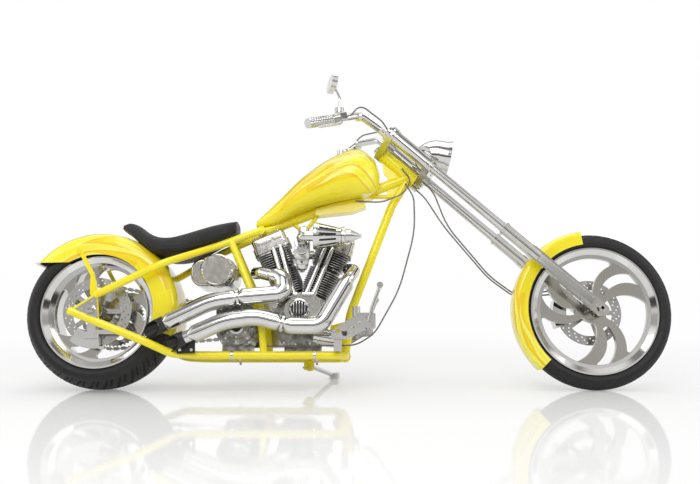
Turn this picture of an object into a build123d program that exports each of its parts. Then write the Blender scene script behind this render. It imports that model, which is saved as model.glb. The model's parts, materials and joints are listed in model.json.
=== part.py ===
from build123d import *
import os
from math import cos, radians, sin, sqrt

os.makedirs("parts", exist_ok=True)

# A long-fork chopper with a 45 degree V-twin engine, standing on its side stand.
# Every piece is made upright: X forward from the rear axle, Y to the left, Z up from the road.
# finish() then leans it as it parks. Sizes are millimetres, angles are degrees.

# ---------------------------------------------------------------- driving dimensions
WHEELBASE = 2160.0
LEAN = 10.5                     # parked lean towards the side stand
RAKE = 48.5                     # fork angle from the vertical
FIT = 0.05                      # radial play of a shaft in its hole
GAP = 0.3                       # between surfaces that all but touch
CLEAR = 6.0                     # between pieces that move past each other

REAR_TYRE_R = 330.0
REAR_TYRE_W = 250.0
REAR_CROWN_R = 190.0
REAR_FLANGE_R = 243.0
REAR_RIM_W = 222.0

FRONT_TYRE_R = 345.0
FRONT_TYRE_W = 90.0
FRONT_CROWN_R = 50.0
FRONT_FLANGE_R = 281.0
FRONT_RIM_W = 78.0

FLANGE_T = 7.5                  # thickness of a rim flange
FLANGE_H = 14.0                 # height of a flange over the bead seat
RIM_T = 15.0                    # bead seat to the inside of the barrel

REAR_AXLE_R = 12.5
FRONT_AXLE_R = 11.0
AXLE_BORE_R = 7.0               # open bore through each axle, for a paddock stand's pin

STAY_Y = 182.0                  # rear stays, at the axle
RAIL_Y = 130.0                  # lower rails
RAIL_Z = 142.0
STAY_R = 16.0
RAIL_R = 17.0
BACKBONE_R = 22.5
DOWNTUBE_R = 19.0
PLATE_T = 14.0                  # rear axle plates

NECK_R = 31.0
STEM_R = 15.0
FORK_Y = 108.0                  # fork legs, from the middle
FORK_TUBE_R = 20.5
FORK_COVER_R = 30.0
STEM_SET = 70.0                 # steering axis behind the line of the fork legs
TREE_LOW = 945.0                # undersides of the trees, up the leg from the axle
TREE_TOP = 1165.0
TREE_T = 30.0
LOWER_W = 52.0                  # billet fork lowers
LOWER_T = 34.0
LOWER_TOP = 400.0
LOWER_END = 36.0                # below the axle

CRANK_X = 877.0
CRANK_Z = 288.0
VEE = 45.0                      # angle between the cylinders

# ---------------------------------------------------------------- derived frame
COS_L = cos(radians(LEAN))
SIN_L = sin(radians(LEAN))
PARK_RISE = REAR_CROWN_R * (1 - COS_L)
REAR_Z = REAR_TYRE_R
FRONT_Z = FRONT_TYRE_R - FRONT_CROWN_R + (FRONT_CROWN_R - PARK_RISE) / COS_L
PARKED = Location((0, 0, PARK_RISE), (-LEAN, 0, 0))
FLOOR_NORMAL = Vector(0, -SIN_L, COS_L)

COS_R = cos(radians(RAKE))
SIN_R = sin(radians(RAKE))
# Fork frame: x ahead of the leg line, y left, z up the legs from the front axle.
FORK = Plane(origin=(WHEELBASE, 0, FRONT_Z), x_dir=(COS_R, 0, SIN_R), z_dir=(-SIN_R, 0, COS_R))
STEM = Plane(origin=FORK.from_local_coords((-STEM_SET, 0, 0)), x_dir=FORK.x_dir, z_dir=FORK.z_dir)


finished = []


def finish(builder, node):
    """Label a piece and lean it as it parks."""
    builder.part.label = node
    parked = builder.part.moved(PARKED)
    parked.label = node
    finished.append(parked)


def fork_point(ahead, left, up):
    """A point given in the fork frame, in the upright frame."""
    return FORK.from_local_coords((ahead, left, up))


def side_plane(y, x=0.0, z=0.0):
    """A plane facing the right side: local x is X, local y is Z, normal is -Y."""
    return Plane(origin=(x, y, z), x_dir=(1, 0, 0), z_dir=(0, -1, 0))


def wheel_plane(x, z):
    """A plane through a wheel's axis: local x is Y, local y is the radius."""
    return Plane(origin=(x, 0, z), x_dir=(0, 1, 0), z_dir=(1, 0, 0))


def wheel_axis(x, z):
    return Axis((x, 0, z), (0, 1, 0))


def tube(points, radii, outer_r, inner_r=0.0, both=False):
    """A round tube along straight runs and tangent arcs; both adds its mirror image on the left."""
    with BuildPart() as made:
        with BuildLine() as path:
            if len(points) > 2:
                FilletPolyline(*points, radius=radii)
            else:
                Line(*points)
        with BuildSketch(Plane(origin=path.line @ 0, z_dir=path.line % 0)):
            Circle(outer_r)
            if inner_r:
                Circle(inner_r, mode=Mode.SUBTRACT)
        sweep(path=path.line)
        if both:
            mirror(about=Plane.XZ)
    return made


# ---------------------------------------------------------------- wheels
def tyre(x, z, radius, width, crown_r, flange_r, rim_w):
    """A tyre: crown arc, two sidewall arcs, and a foot between the rim's flanges."""
    edge_y = width / 2 - width / 12
    edge_r = radius - crown_r + sqrt(crown_r**2 - edge_y**2)
    foot_y = rim_w / 2 - FLANGE_T - GAP
    foot_r = flange_r - FLANGE_H + GAP
    top_r = flange_r + GAP
    with BuildPart() as made:
        with BuildSketch(wheel_plane(x, z)):
            with BuildLine():
                ThreePointArc((-edge_y, edge_r), (0, radius), (edge_y, edge_r))
                ThreePointArc((edge_y, edge_r), (width / 2, (edge_r + top_r) / 2), (foot_y, top_r))
                Polyline((foot_y, top_r), (foot_y, foot_r), (-foot_y, foot_r), (-foot_y, top_r))
                ThreePointArc((-foot_y, top_r), (-width / 2, (edge_r + top_r) / 2), (-edge_y, edge_r))
            make_face()
        revolve(axis=wheel_axis(x, z))
    return made


def window(inner_r, outer_r, start, end, bow, corner_r):
    """One opening between spokes, about (0, 0): two arcs about the hub and two bowed sides."""
    middle_r = (inner_r + outer_r) / 2
    middle = (start + end) / 2

    def at(radius, angle):
        return radius * cos(radians(angle)), radius * sin(radians(angle))

    with BuildSketch() as opening:
        with BuildLine():
            ThreePointArc(at(inner_r, start), at(middle_r, start + bow / 4), at(outer_r, start + bow))
            ThreePointArc(at(outer_r, start + bow), at(outer_r, middle + bow), at(outer_r, end + bow))
            ThreePointArc(at(outer_r, end + bow), at(middle_r, end + bow / 4), at(inner_r, end))
            ThreePointArc(at(inner_r, end), at(inner_r, middle), at(inner_r, start))
        make_face()
        fillet(vertices(), radius=corner_r)
    return opening.sketch


def wheel(x, z, flange_r, rim_w, spoke_y, spoke_t, hub_r, hub_from, hub_to, axle_r, turn, bow):
    """A rim with a stepped barrel, a hub and three pairs of curved spokes."""
    half = rim_w / 2
    seat_r = flange_r - FLANGE_H
    barrel_r = seat_r - RIM_T
    wide = window(hub_r + 22, barrel_r - 16, turn + 27, turn + 93, bow, 12)
    narrow = window(hub_r + 50, barrel_r - 16, turn - 8, turn + 8, bow, 4)
    with BuildPart() as made:
        with BuildSketch(wheel_plane(x, z)):
            with BuildLine():
                Polyline(
                    (-half, flange_r), (-half + FLANGE_T, flange_r), (-half + FLANGE_T, seat_r),
                    (half - FLANGE_T, seat_r), (half - FLANGE_T, flange_r), (half, flange_r),
                    (half, flange_r - FLANGE_T), (half - 2 * FLANGE_T, barrel_r),
                    (-half + 2 * FLANGE_T, barrel_r), (-half, flange_r - FLANGE_T), close=True,
                )
            make_face()
        revolve(axis=wheel_axis(x, z))
        with BuildSketch(side_plane(spoke_y + spoke_t / 2, x, z)):
            Circle(barrel_r + RIM_T / 2)
            with PolarLocations(0, 3):
                add(wide, mode=Mode.SUBTRACT)
                add(narrow, mode=Mode.SUBTRACT)
        extrude(amount=spoke_t)
        with BuildSketch(side_plane(hub_to, x, z)):
            Circle(hub_r)
        extrude(amount=hub_to - hub_from)
        with BuildSketch(side_plane(hub_to, x, z)):
            Circle(axle_r + FIT)
        extrude(amount=hub_to - hub_from, mode=Mode.SUBTRACT)
    return made


def disc(x, z, y_mid, outer_r, inner_r, bore_r, thick):
    """A drilled brake disc on a five-armed carrier."""
    with BuildPart() as made:
        with BuildSketch(side_plane(y_mid + thick / 2, x, z)):
            Circle(outer_r)
            Circle(inner_r, mode=Mode.SUBTRACT)
            for row in range(3):
                ring = inner_r + (outer_r - inner_r) * (row + 1) / 4
                with PolarLocations(ring, 20, start_angle=row * 6):
                    Circle(3.5, mode=Mode.SUBTRACT)
            Circle(bore_r + 16)
            with PolarLocations((inner_r + bore_r) / 2 + 6, 5):
                Rectangle(inner_r - bore_r, 20)
            Circle(bore_r, mode=Mode.SUBTRACT)
        extrude(amount=thick)
    return made


REAR_HUB_R = 36.0
REAR_HUB_RIGHT = -106.0
REAR_HUB_LEFT = 146.0
REAR_SPOKE_Y = -50.0
REAR_SPOKE_T = 26.0
FRONT_HUB_R = 34.0
FRONT_HUB_RIGHT = -62.0
FRONT_HUB_LEFT = 52.0
FRONT_SPOKE_Y = -12.0
FRONT_SPOKE_T = 22.0
DISC_T = 5.0
DISC_R = 146.0
DISC_IN = 104.0
REAR_DISC_Y = REAR_HUB_RIGHT - DISC_T / 2 - GAP
FRONT_DISC_Y = FRONT_HUB_LEFT + DISC_T / 2 + GAP
SPROCKET_T = 8.0
SPROCKET_Y = REAR_HUB_LEFT + SPROCKET_T / 2 + GAP
SPROCKET_R = 128.0

finish(tyre(0, REAR_Z, REAR_TYRE_R, REAR_TYRE_W, REAR_CROWN_R, REAR_FLANGE_R, REAR_RIM_W), "rear_tyre")
finish(
    tyre(WHEELBASE, FRONT_Z, FRONT_TYRE_R, FRONT_TYRE_W, FRONT_CROWN_R, FRONT_FLANGE_R, FRONT_RIM_W),
    "front_tyre",
)
finish(
    wheel(0, REAR_Z, REAR_FLANGE_R, REAR_RIM_W, REAR_SPOKE_Y, REAR_SPOKE_T,
          REAR_HUB_R, REAR_HUB_RIGHT, REAR_HUB_LEFT, REAR_AXLE_R, 20, -26),
    "rear_rim",
)
finish(
    wheel(WHEELBASE, FRONT_Z, FRONT_FLANGE_R, FRONT_RIM_W, FRONT_SPOKE_Y, FRONT_SPOKE_T,
          FRONT_HUB_R, FRONT_HUB_RIGHT, FRONT_HUB_LEFT, FRONT_AXLE_R, 62, -26),
    "front_rim",
)
finish(disc(0, REAR_Z, REAR_DISC_Y, DISC_R, DISC_IN, REAR_AXLE_R + 4, DISC_T), "rear_disc")
finish(disc(WHEELBASE, FRONT_Z, FRONT_DISC_Y, DISC_R, DISC_IN, FRONT_AXLE_R + 4, DISC_T), "front_disc")

with BuildPart() as rear_sprocket:
    with BuildSketch(side_plane(SPROCKET_Y + SPROCKET_T / 2, 0, REAR_Z)):
        Circle(SPROCKET_R)
        with PolarLocations(SPROCKET_R, 48):
            Rectangle(10, 7)
        with PolarLocations(82, 5):
            Circle(24, mode=Mode.SUBTRACT)
        Circle(REAR_AXLE_R + 4, mode=Mode.SUBTRACT)
    extrude(amount=SPROCKET_T)
finish(rear_sprocket, "rear_sprocket")


# ---------------------------------------------------------------- frame
def stem_point(up):
    """A point on the steering axis, by its distance up from the foot of the fork."""
    return STEM.from_local_coords((0, 0, up))


NECK_LOW = TREE_LOW + TREE_T + GAP
NECK_TOP = TREE_TOP - GAP
SEAT_CROSS_X = 690.0
SEAT_CROSS_Z = 700.0
SEAT_CROSS_W = 124.0
FOOT_X = 1064.0
FOOT_W = 60.0
MOUNT_X = 878.0                 # engine top mount, between the cylinders
MOUNT_Z = 700.0
NECK_AT = stem_point(1010)      # where the backbone and the downtube meet

STAY_PATH = [(10, -STAY_Y, 390), (290, -STAY_Y, 528), (500, -78, 622), (SEAT_CROSS_X, -50, SEAT_CROSS_Z)]
RAIL_PATH = [
    (-96, -STAY_Y, 326), (215, -STAY_Y, 202), (335, -152, 148), (440, -RAIL_Y, RAIL_Z),
    (FOOT_X, -RAIL_Y, RAIL_Z), (FOOT_X, -FOOT_W / 2, RAIL_Z),
]
POST_PATH = [(560, -69, 646), (655, -112, 430), (708, -123, 280), (722, -RAIL_Y, RAIL_Z)]
BACKBONE = [(SEAT_CROSS_X, 0, SEAT_CROSS_Z), tuple(NECK_AT)]
DOWNTUBE = [tuple(NECK_AT), tuple(NECK_AT + Vector(-82, 0, -134)), (FOOT_X + 21, 0, RAIL_Z + 188),
            (FOOT_X, 0, RAIL_Z)]
BRACE_DROP = 91.4               # brace under the neck, below that point
BRACE_R = 10.0
# gusset behind the neck, and the round windows in it: X and Z from the neck point
GUSSET = [(-95, 87), (15, -12), (-27, -79), (-95, -91), (-112, -54), (-95, -19), (-117, 16), (-125, 71)]
GUSSET_WINDOWS = [(-113, -54), (-117, -7)]

with BuildPart() as frame_backbone:
    add(tube(BACKBONE, [], BACKBONE_R).part)
    with BuildSketch(Plane(origin=stem_point(NECK_LOW), x_dir=STEM.x_dir, z_dir=STEM.z_dir)):
        Circle(NECK_R)
    extrude(amount=NECK_TOP - NECK_LOW)
    for low in (NECK_LOW, NECK_TOP - 9):
        with BuildSketch(Plane(origin=stem_point(low), x_dir=STEM.x_dir, z_dir=STEM.z_dir)):
            Circle(NECK_R + 5)
        extrude(amount=9)
    with BuildSketch(side_plane(-SEAT_CROSS_W / 2, SEAT_CROSS_X, SEAT_CROSS_Z)):
        Circle(18)
    extrude(amount=-SEAT_CROSS_W)
    for start in ((948, 790), (815, 752)):
        add(tube([(start[0], 0, start[1]), (MOUNT_X, 0, MOUNT_Z)], [], 9).part)
    with BuildSketch(side_plane(-22, MOUNT_X, MOUNT_Z)):
        Circle(16)
    extrude(amount=-44)
    with BuildSketch(side_plane(-5, NECK_AT.X, NECK_AT.Z)):
        with BuildLine():
            Polyline(*GUSSET, close=True)
        make_face()
        with Locations(*GUSSET_WINDOWS):
            Circle(16, mode=Mode.SUBTRACT)
    extrude(amount=-10)
    with BuildSketch(Plane(origin=stem_point(NECK_LOW - 1), x_dir=STEM.x_dir, z_dir=STEM.z_dir)):
        Circle(STEM_R + FIT)
    extrude(amount=NECK_TOP - NECK_LOW + 2, mode=Mode.SUBTRACT)

with BuildPart() as frame_downtube:
    add(tube(DOWNTUBE, [140, 260], DOWNTUBE_R).part)
    with BuildSketch(side_plane(-FOOT_W / 2, FOOT_X, RAIL_Z)):
        Circle(DOWNTUBE_R + 5)
    extrude(amount=-FOOT_W)
    with BuildSketch(side_plane(-6)):
        with BuildLine():
            Polyline((FOOT_X, RAIL_Z + 15), (FOOT_X - 72, RAIL_Z + 63), (FOOT_X - 64, RAIL_Z + 138),
                     (FOOT_X + 11, RAIL_Z + 158), close=True)
        make_face()
    extrude(amount=-12)
    add(tube([tuple(NECK_AT + Vector(-207, 0, -BRACE_DROP)), tuple(NECK_AT + Vector(-72, 0, -BRACE_DROP))],
             [], BRACE_R).part)
    add(frame_backbone.part, mode=Mode.SUBTRACT)
    with BuildSketch(Plane(origin=stem_point(NECK_LOW - 1), x_dir=STEM.x_dir, z_dir=STEM.z_dir)):
        Circle(NECK_R + 5)
    extrude(amount=NECK_TOP - NECK_LOW + 2, mode=Mode.SUBTRACT)

frame_rails = tube(RAIL_PATH, [140, 160, 180, 60], RAIL_R, both=True)

with BuildPart() as frame_stays:
    add(tube(STAY_PATH, [150, 150], STAY_R).part)
    with BuildSketch(side_plane(-STAY_Y + PLATE_T / 2)):
        with BuildLine():
            Polyline((-88, 330), (22, 404), (34, 278), close=True)
        make_face()
        fillet(vertices(), radius=9)
    extrude(amount=PLATE_T)
    mirror(about=Plane.XZ)
    add(frame_rails.part, mode=Mode.SUBTRACT)
    add(frame_backbone.part, mode=Mode.SUBTRACT)
    with BuildSketch(side_plane(-STAY_Y - PLATE_T, 0, REAR_Z)):
        Circle(REAR_AXLE_R + FIT)
    extrude(amount=-2 * (STAY_Y + PLATE_T), mode=Mode.SUBTRACT)

with BuildPart() as seat_posts:
    add(tube(POST_PATH, [260, 320], STAY_R, both=True).part)
    add(frame_rails.part, mode=Mode.SUBTRACT)
    add(frame_stays.part, mode=Mode.SUBTRACT)

finish(frame_backbone, "frame_backbone")
finish(frame_downtube, "frame_downtube")
finish(frame_rails, "frame_rails")
finish(frame_stays, "frame_stays")
finish(seat_posts, "seat_posts")

PLATE_OUT = STAY_Y + PLATE_T / 2
PLATE_IN = STAY_Y - PLATE_T / 2
with BuildPart() as rear_axle:
    with BuildSketch(side_plane(-PLATE_OUT - 22, 0, REAR_Z)):
        Circle(REAR_AXLE_R)
    extrude(amount=-2 * (PLATE_OUT + 22))
    with BuildSketch(side_plane(-PLATE_OUT - 14, 0, REAR_Z)):
        RegularPolygon(19, 6)
    extrude(amount=-14)
    with BuildSketch(side_plane(PLATE_OUT, 0, REAR_Z)):
        RegularPolygon(19, 6)
    extrude(amount=-14)
    with BuildSketch(side_plane(-PLATE_IN, 0, REAR_Z)):
        Circle(REAR_AXLE_R + 6)
    extrude(amount=-(PLATE_IN + REAR_DISC_Y - DISC_T / 2 - 1))
    with BuildSketch(side_plane(SPROCKET_Y + SPROCKET_T / 2 + 1, 0, REAR_Z)):
        Circle(REAR_AXLE_R + 6)
    extrude(amount=-(PLATE_IN - SPROCKET_Y - SPROCKET_T / 2 - 1))
    with BuildSketch(side_plane(-PLATE_OUT - 22, 0, REAR_Z)):
        Circle(AXLE_BORE_R)
    extrude(amount=-2 * (PLATE_OUT + 22), mode=Mode.SUBTRACT)
finish(rear_axle, "rear_axle")


# ---------------------------------------------------------------- bodywork
def radius_plane(x, z, angle):
    """A plane through a wheel's axis at an angle up from straight ahead: local x is Y, local y the radius."""
    c = cos(radians(angle))
    s = sin(radians(angle))
    return Plane(origin=(x, 0, z), x_dir=(0, 1, 0), z_dir=(s, 0, -c))


def fender(x, z, inner_r, skirt_r, inner_half, thick, corner, start, arc):
    """A fender shell: a rounded channel turned about the wheel's axis."""
    with BuildPart() as made:
        with BuildSketch(radius_plane(x, z, start)):
            with BuildLine():
                top = inner_r + thick
                out = inner_half + thick
                inner_corner = corner - thick
                Line((-out, skirt_r), (-out, top - corner))
                RadiusArc((-out, top - corner), (-out + corner, top), corner)
                Line((-out + corner, top), (out - corner, top))
                RadiusArc((out - corner, top), (out, top - corner), corner)
                Line((out, top - corner), (out, skirt_r))
                Line((out, skirt_r), (inner_half, skirt_r))
                Line((inner_half, skirt_r), (inner_half, top - corner))
                RadiusArc((inner_half, top - corner), (out - corner, inner_r), -inner_corner)
                Line((out - corner, inner_r), (-out + corner, inner_r))
                RadiusArc((-out + corner, inner_r), (-inner_half, top - corner), -inner_corner)
                Line((-inner_half, top - corner), (-inner_half, skirt_r))
                Line((-inner_half, skirt_r), (-out, skirt_r))
            make_face()
        revolve(axis=wheel_axis(x, z), revolution_arc=arc)
    return made


REAR_FENDER_IN = REAR_TYRE_R + 8
REAR_FENDER_HALF = REAR_TYRE_W / 2 + CLEAR + 1
REAR_FENDER_T = 4.0
REAR_SKIRT_R = 245.0
REAR_TAIL_Z = 536.0
FRONT_FENDER_IN = FRONT_TYRE_R + 8
FRONT_FENDER_HALF = FRONT_TYRE_W / 2 + CLEAR
FRONT_FENDER_T = 3.0
FRONT_SKIRT_R = 296.0

with BuildPart() as rear_fender:
    add(fender(0, REAR_Z, REAR_FENDER_IN, REAR_SKIRT_R, REAR_FENDER_HALF, REAR_FENDER_T, 48, 146, 164).part)
    with BuildSketch(side_plane(-REAR_TYRE_W)):
        with BuildLine():
            Polyline((-100, REAR_TAIL_Z - 4), (-400, REAR_TAIL_Z + 6), (-400, 400), (-100, 400), close=True)
        make_face()
    extrude(amount=-2 * REAR_TYRE_W, mode=Mode.SUBTRACT)
finish(rear_fender, "rear_fender")

FENDER_OUT = REAR_FENDER_HALF + REAR_FENDER_T
STRUT_OUT = PLATE_IN            # outer face of each strut, against the axle plate
with BuildPart() as fender_struts:
    with BuildSketch(side_plane(-STRUT_OUT + 8)):
        with BuildLine():
            Polyline((-84, 592), (-62, 592), (-38, 552), (0, 484), (22, 398), (0, 372), (-14, 400), (-16, 476),
                     (-58, 552), close=True)
        make_face()
        fillet(vertices(), radius=4)
    extrude(amount=8)
    with BuildSketch(side_plane(-FENDER_OUT, -72, 578)):
        Circle(8)
    extrude(amount=STRUT_OUT - 8 - FENDER_OUT)
    with BuildSketch(side_plane(-STRUT_OUT, -72, 578)):
        Circle(9)
    extrude(amount=6)
    mirror(about=Plane.XZ)
    add(frame_stays.part, mode=Mode.SUBTRACT)
finish(fender_struts, "fender_struts")

# station X, underside Z, top Z, half width, half width of the flat underside
TANK = [
    (664, 724, 752, 18, 12),
    (760, 738, 846, 64, 40),
    (880, 792, 964, 112, 72),
    (1010, 830, 1052, 144, 96),
    (1120, 852, 1088, 148, 100),
    (1192, 872, 1040, 112, 76),
    (1218, 905, 984, 60, 44),
]
with BuildPart() as fuel_tank:
    for station, low, top, half, flat in TANK:
        height = top - low
        with BuildSketch(Plane(origin=(station, 0, 0), x_dir=(0, 1, 0), z_dir=(1, 0, 0))):
            with BuildLine():
                Line((-flat, low), (flat, low))
                ThreePointArc((flat, low), (half, low + 0.40 * height), (0.66 * half, low + 0.82 * height))
                ThreePointArc((0.66 * half, low + 0.82 * height), (0, top), (-0.66 * half, low + 0.82 * height))
                ThreePointArc((-0.66 * half, low + 0.82 * height), (-half, low + 0.40 * height), (-flat, low))
            make_face()
    loft()
    add(tube(BACKBONE, [], BACKBONE_R + GAP).part, mode=Mode.SUBTRACT)
    with BuildSketch(side_plane(-BACKBONE_R - GAP)):
        with BuildLine():
            Polyline((600, SEAT_CROSS_Z - 35), (NECK_AT.X, NECK_AT.Z), (NECK_AT.X, 760), (600, 500), close=True)
        make_face()
    extrude(amount=-2 * (BACKBONE_R + GAP), mode=Mode.SUBTRACT)
finish(fuel_tank, "fuel_tank")

# station X, underside Z, top Z, half width, corner radius
SEAT = [
    (78, 696, 722, 62, 10),
    (150, 640, 708, 112, 26),
    (245, 566, 652, 146, 34),
    (360, 572, 676, 142, 36),
    (470, 622, 712, 112, 32),
    (582, 680, 738, 74, 24),
]
with BuildPart() as seat:
    for station, low, top, half, corner in SEAT:
        with BuildSketch(Plane(origin=(station, 0, (low + top) / 2), x_dir=(0, 1, 0), z_dir=(1, 0, 0))):
            RectangleRounded(2 * half, top - low, corner)
    loft()
    add(tube(STAY_PATH, [150, 150], STAY_R + GAP, both=True).part, mode=Mode.SUBTRACT)
    with BuildSketch(side_plane(-REAR_TYRE_W, 0, REAR_Z)):
        Circle(REAR_FENDER_IN + REAR_FENDER_T + GAP)
    extrude(amount=-2 * REAR_TYRE_W, mode=Mode.SUBTRACT)
finish(seat, "seat")


# ---------------------------------------------------------------- engine
CASE_HALF = 72.0                # crankcase half width
FIN_T = 3.0
FIN_PITCH = 10.5
FIN_W = 148.0                   # along the motorcycle
FIN_D = 128.0                   # across it
BORE_OUT = 54.0
CYL_FROM = 128.0                # distances out from the crank's axis
CYL_TO = 262.0
HEAD_TO = 348.0
ROCKER_TO = 428.0
ROCKER_L = 168.0
ROCKER_W = 132.0
HEAD_OUT = 43.0                 # core of a cylinder head, inside its fins
TILTS = {"rear": -VEE / 2, "front": VEE / 2}


def cylinder_plane(tilt, out, y=0.0):
    """A plane square to a cylinder's axis, at a distance out from the crank: local y is Y."""
    s = sin(radians(tilt))
    c = cos(radians(tilt))
    return Plane(origin=(CRANK_X + out * s, y, CRANK_Z + out * c), x_dir=(c, 0, -s), z_dir=(s, 0, c))


# cylinder that a pushrod tube climbs, its foot on the cam chest (X), its head along the rocker box
PUSHRODS = [("rear", 815, 4.0), ("rear", 847, 36.0), ("front", 887, -36.0), ("front", 919, -4.0)]
PUSHROD_R = 11.0
PUSHROD_FOOT_Y = -87.0
PUSHROD_HEAD_Y = -57.0
PUSHROD_FOOT_Z = 392.0
NOTCH_HALF = PUSHROD_R + 3.5    # notches in the fins
NOTCH_DEEP = 70.0


def pushrod_ends(foot, name, along):
    """The foot and the head of a pushrod tube, upright."""
    low = Vector(foot, PUSHROD_FOOT_Y, PUSHROD_FOOT_Z)
    return low, cylinder_plane(TILTS[name], HEAD_TO, PUSHROD_HEAD_Y).from_local_coords((along, 0, 0))


def rods_across(name, out):
    """Where a cylinder's pushrod tubes cross the plane square to it at a distance out: middles of notches."""
    plane = cylinder_plane(TILTS[name], 0)
    places = []
    for owner, foot, along in PUSHRODS:
        if owner == name:
            low, head = (plane.to_local_coords(end) for end in pushrod_ends(foot, name, along))
            cross = low + (head - low) * ((out - low.Z) / (head.Z - low.Z))
            places.append((cross.X, cross.Y + NOTCH_HALF - NOTCH_DEEP / 2))
    return places


def cylinder(name):
    """A finned barrel and its head, as one casting, notched where the pushrod tubes pass."""
    tilt = TILTS[name]
    fins = int((CYL_TO - CYL_FROM - 14) / FIN_PITCH)
    head_fins = int((HEAD_TO - CYL_TO - 12) / FIN_PITCH)
    # distance out, thickness, length, depth, corner radius
    layers = [(CYL_FROM + 12 + fin * FIN_PITCH, FIN_T, FIN_W - 8, FIN_D, 46) for fin in range(fins)]
    layers += [(CYL_TO + 14 + fin * FIN_PITCH, FIN_T, FIN_W, FIN_D + 4, 26) for fin in range(head_fins)]
    layers += [(CYL_TO, 8, FIN_W - 20, FIN_D - 12, 30), (HEAD_TO - 10, 10, ROCKER_L - 16, ROCKER_W - 6, 20)]
    inward = -1 if tilt < 0 else 1
    with BuildPart() as made:
        with BuildSketch(cylinder_plane(tilt, CYL_FROM)):
            Circle(BORE_OUT)
        extrude(amount=CYL_TO - CYL_FROM)
        with BuildSketch(cylinder_plane(tilt, CYL_TO)):
            RectangleRounded(FIN_W - 50, 2 * HEAD_OUT, 20)
        extrude(amount=HEAD_TO - CYL_TO)
        for out, thick, length, depth, corner in layers:
            with BuildSketch(cylinder_plane(tilt, out)):
                RectangleRounded(length, depth, corner)
                with Locations(*rods_across(name, out)):
                    Rectangle(2 * NOTCH_HALF, NOTCH_DEEP, mode=Mode.SUBTRACT)
            extrude(amount=thick)
        split(bisect_by=Plane(origin=(CRANK_X + 1.5 * inward, 0, 0), z_dir=(inward, 0, 0)), keep=Keep.TOP)
    return made


def rocker_box(tilt):
    """A two-step polished cover over the valve gear."""
    with BuildPart() as made:
        with BuildSketch(cylinder_plane(tilt, HEAD_TO)):
            RectangleRounded(ROCKER_L, ROCKER_W, 24)
        extrude(amount=30)
        with BuildSketch(cylinder_plane(tilt, HEAD_TO + 30)):
            RectangleRounded(ROCKER_L - 12, ROCKER_W - 12, 20)
        extrude(amount=ROCKER_TO - HEAD_TO - 30)
        top = made.faces().sort_by(Axis((0, 0, 0), cylinder_plane(tilt, 0).z_dir))[-1]
        fillet(top.edges(), radius=20)
    return made


rear_cylinder = cylinder("rear")
front_cylinder = cylinder("front")

with BuildPart() as crankcase:
    with BuildSketch(side_plane(-CASE_HALF)):
        with BuildLine():
            Polyline((752, 300), (790, 192), (850, 178), (930, 182), (975, 210), (986, 300), (970, 382),
                     (905, 404), (850, 404), (776, 382), close=True)
        make_face()
        fillet(vertices(), radius=24)
    extrude(amount=-2 * CASE_HALF)
    for tilt in TILTS.values():
        with BuildSketch(cylinder_plane(tilt, 60)):
            RectangleRounded(124, 116, 30)
        extrude(amount=CYL_FROM - 60)
    with BuildSketch(side_plane(-CASE_HALF, 880, 205)):
        Rectangle(150, 22)
    extrude(amount=-2 * CASE_HALF)
    with BuildSketch(side_plane(CASE_HALF, CRANK_X, CRANK_Z)):
        Circle(62)
    extrude(amount=-70)
    with BuildSketch(side_plane(-44)):
        with BuildLine():
            Polyline((800, 200), (800, RAIL_Z + RAIL_R + 2), (960, RAIL_Z + RAIL_R + 2), (960, 200), close=True)
        make_face()
    extrude(amount=-88)
    add(rear_cylinder.part, mode=Mode.SUBTRACT)
    add(front_cylinder.part, mode=Mode.SUBTRACT)

with BuildPart() as cam_cover:
    with BuildSketch(side_plane(-CASE_HALF)):
        with BuildLine():
            Polyline((800, 330), (812, 396), (866, 408), (884, 408), (950, 396), (966, 330), (920, 262),
                     (830, 262), close=True)
        make_face()
        fillet(vertices(), radius=20)
    extrude(amount=30)
    with BuildSketch(side_plane(-CASE_HALF - 30, 868, 340)):
        Circle(56)
    extrude(amount=10)
    with BuildSketch(side_plane(-CASE_HALF - 40, 868, 340)):
        Circle(45)
    extrude(amount=10)
    chamfer(faces().sort_by(Axis.Y)[0].edges(), length=4)

with BuildPart() as rocker_boxes:
    for tilt in TILTS.values():
        add(rocker_box(tilt).part)

with BuildPart() as pushrod_tubes:
    for owner, foot, along in PUSHRODS:
        low, head = pushrod_ends(foot, owner, along)
        line = head - low
        for start, length, wider in ((0, line.length + 8, 0), (0, 34, 3), (line.length * 0.55, 12, 2)):
            with BuildSketch(Plane(origin=low + line.normalized() * start, z_dir=line)):
                Circle(PUSHROD_R + wider)
            extrude(amount=length)
    for piece in (cam_cover, rocker_boxes):
        add(piece.part, mode=Mode.SUBTRACT)

finish(crankcase, "crankcase")
finish(cam_cover, "cam_cover")
finish(rear_cylinder, "rear_cylinder")
finish(front_cylinder, "front_cylinder")
finish(rocker_boxes, "rocker_boxes")
finish(pushrod_tubes, "pushrod_tubes")


# ---------------------------------------------------------------- intake, gearbox, primary, oil
INTAKE_X = CRANK_X
INTAKE_Z = 598.0
CARB_Y = -86.0
CLEANER_Y = -206.0
CLEANER_Z = 640.0
CLEANER_X = 938.0
CLEANER_L = 196.0
TIP_R = 9.0

with BuildPart() as carburettor:
    with BuildSketch(side_plane(40, INTAKE_X, INTAKE_Z)):
        Circle(22)
    extrude(amount=-CARB_Y + 40)
    with BuildSketch(Plane(origin=(INTAKE_X - 45.7, 0, INTAKE_Z), x_dir=(0, 1, 0), z_dir=(1, 0, 0))):
        Circle(19)
    extrude(amount=91.4)
    with BuildSketch(side_plane(CARB_Y, INTAKE_X, INTAKE_Z)):
        RectangleRounded(66, 88, 12)
    extrude(amount=56)
    with BuildSketch(side_plane(CARB_Y - 8, INTAKE_X, INTAKE_Z - 50)):
        RectangleRounded(54, 40, 10)
    extrude(amount=44)
    for piece in (rear_cylinder, front_cylinder, rocker_boxes, pushrod_tubes, crankcase):
        add(piece.part, mode=Mode.SUBTRACT)

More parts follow.
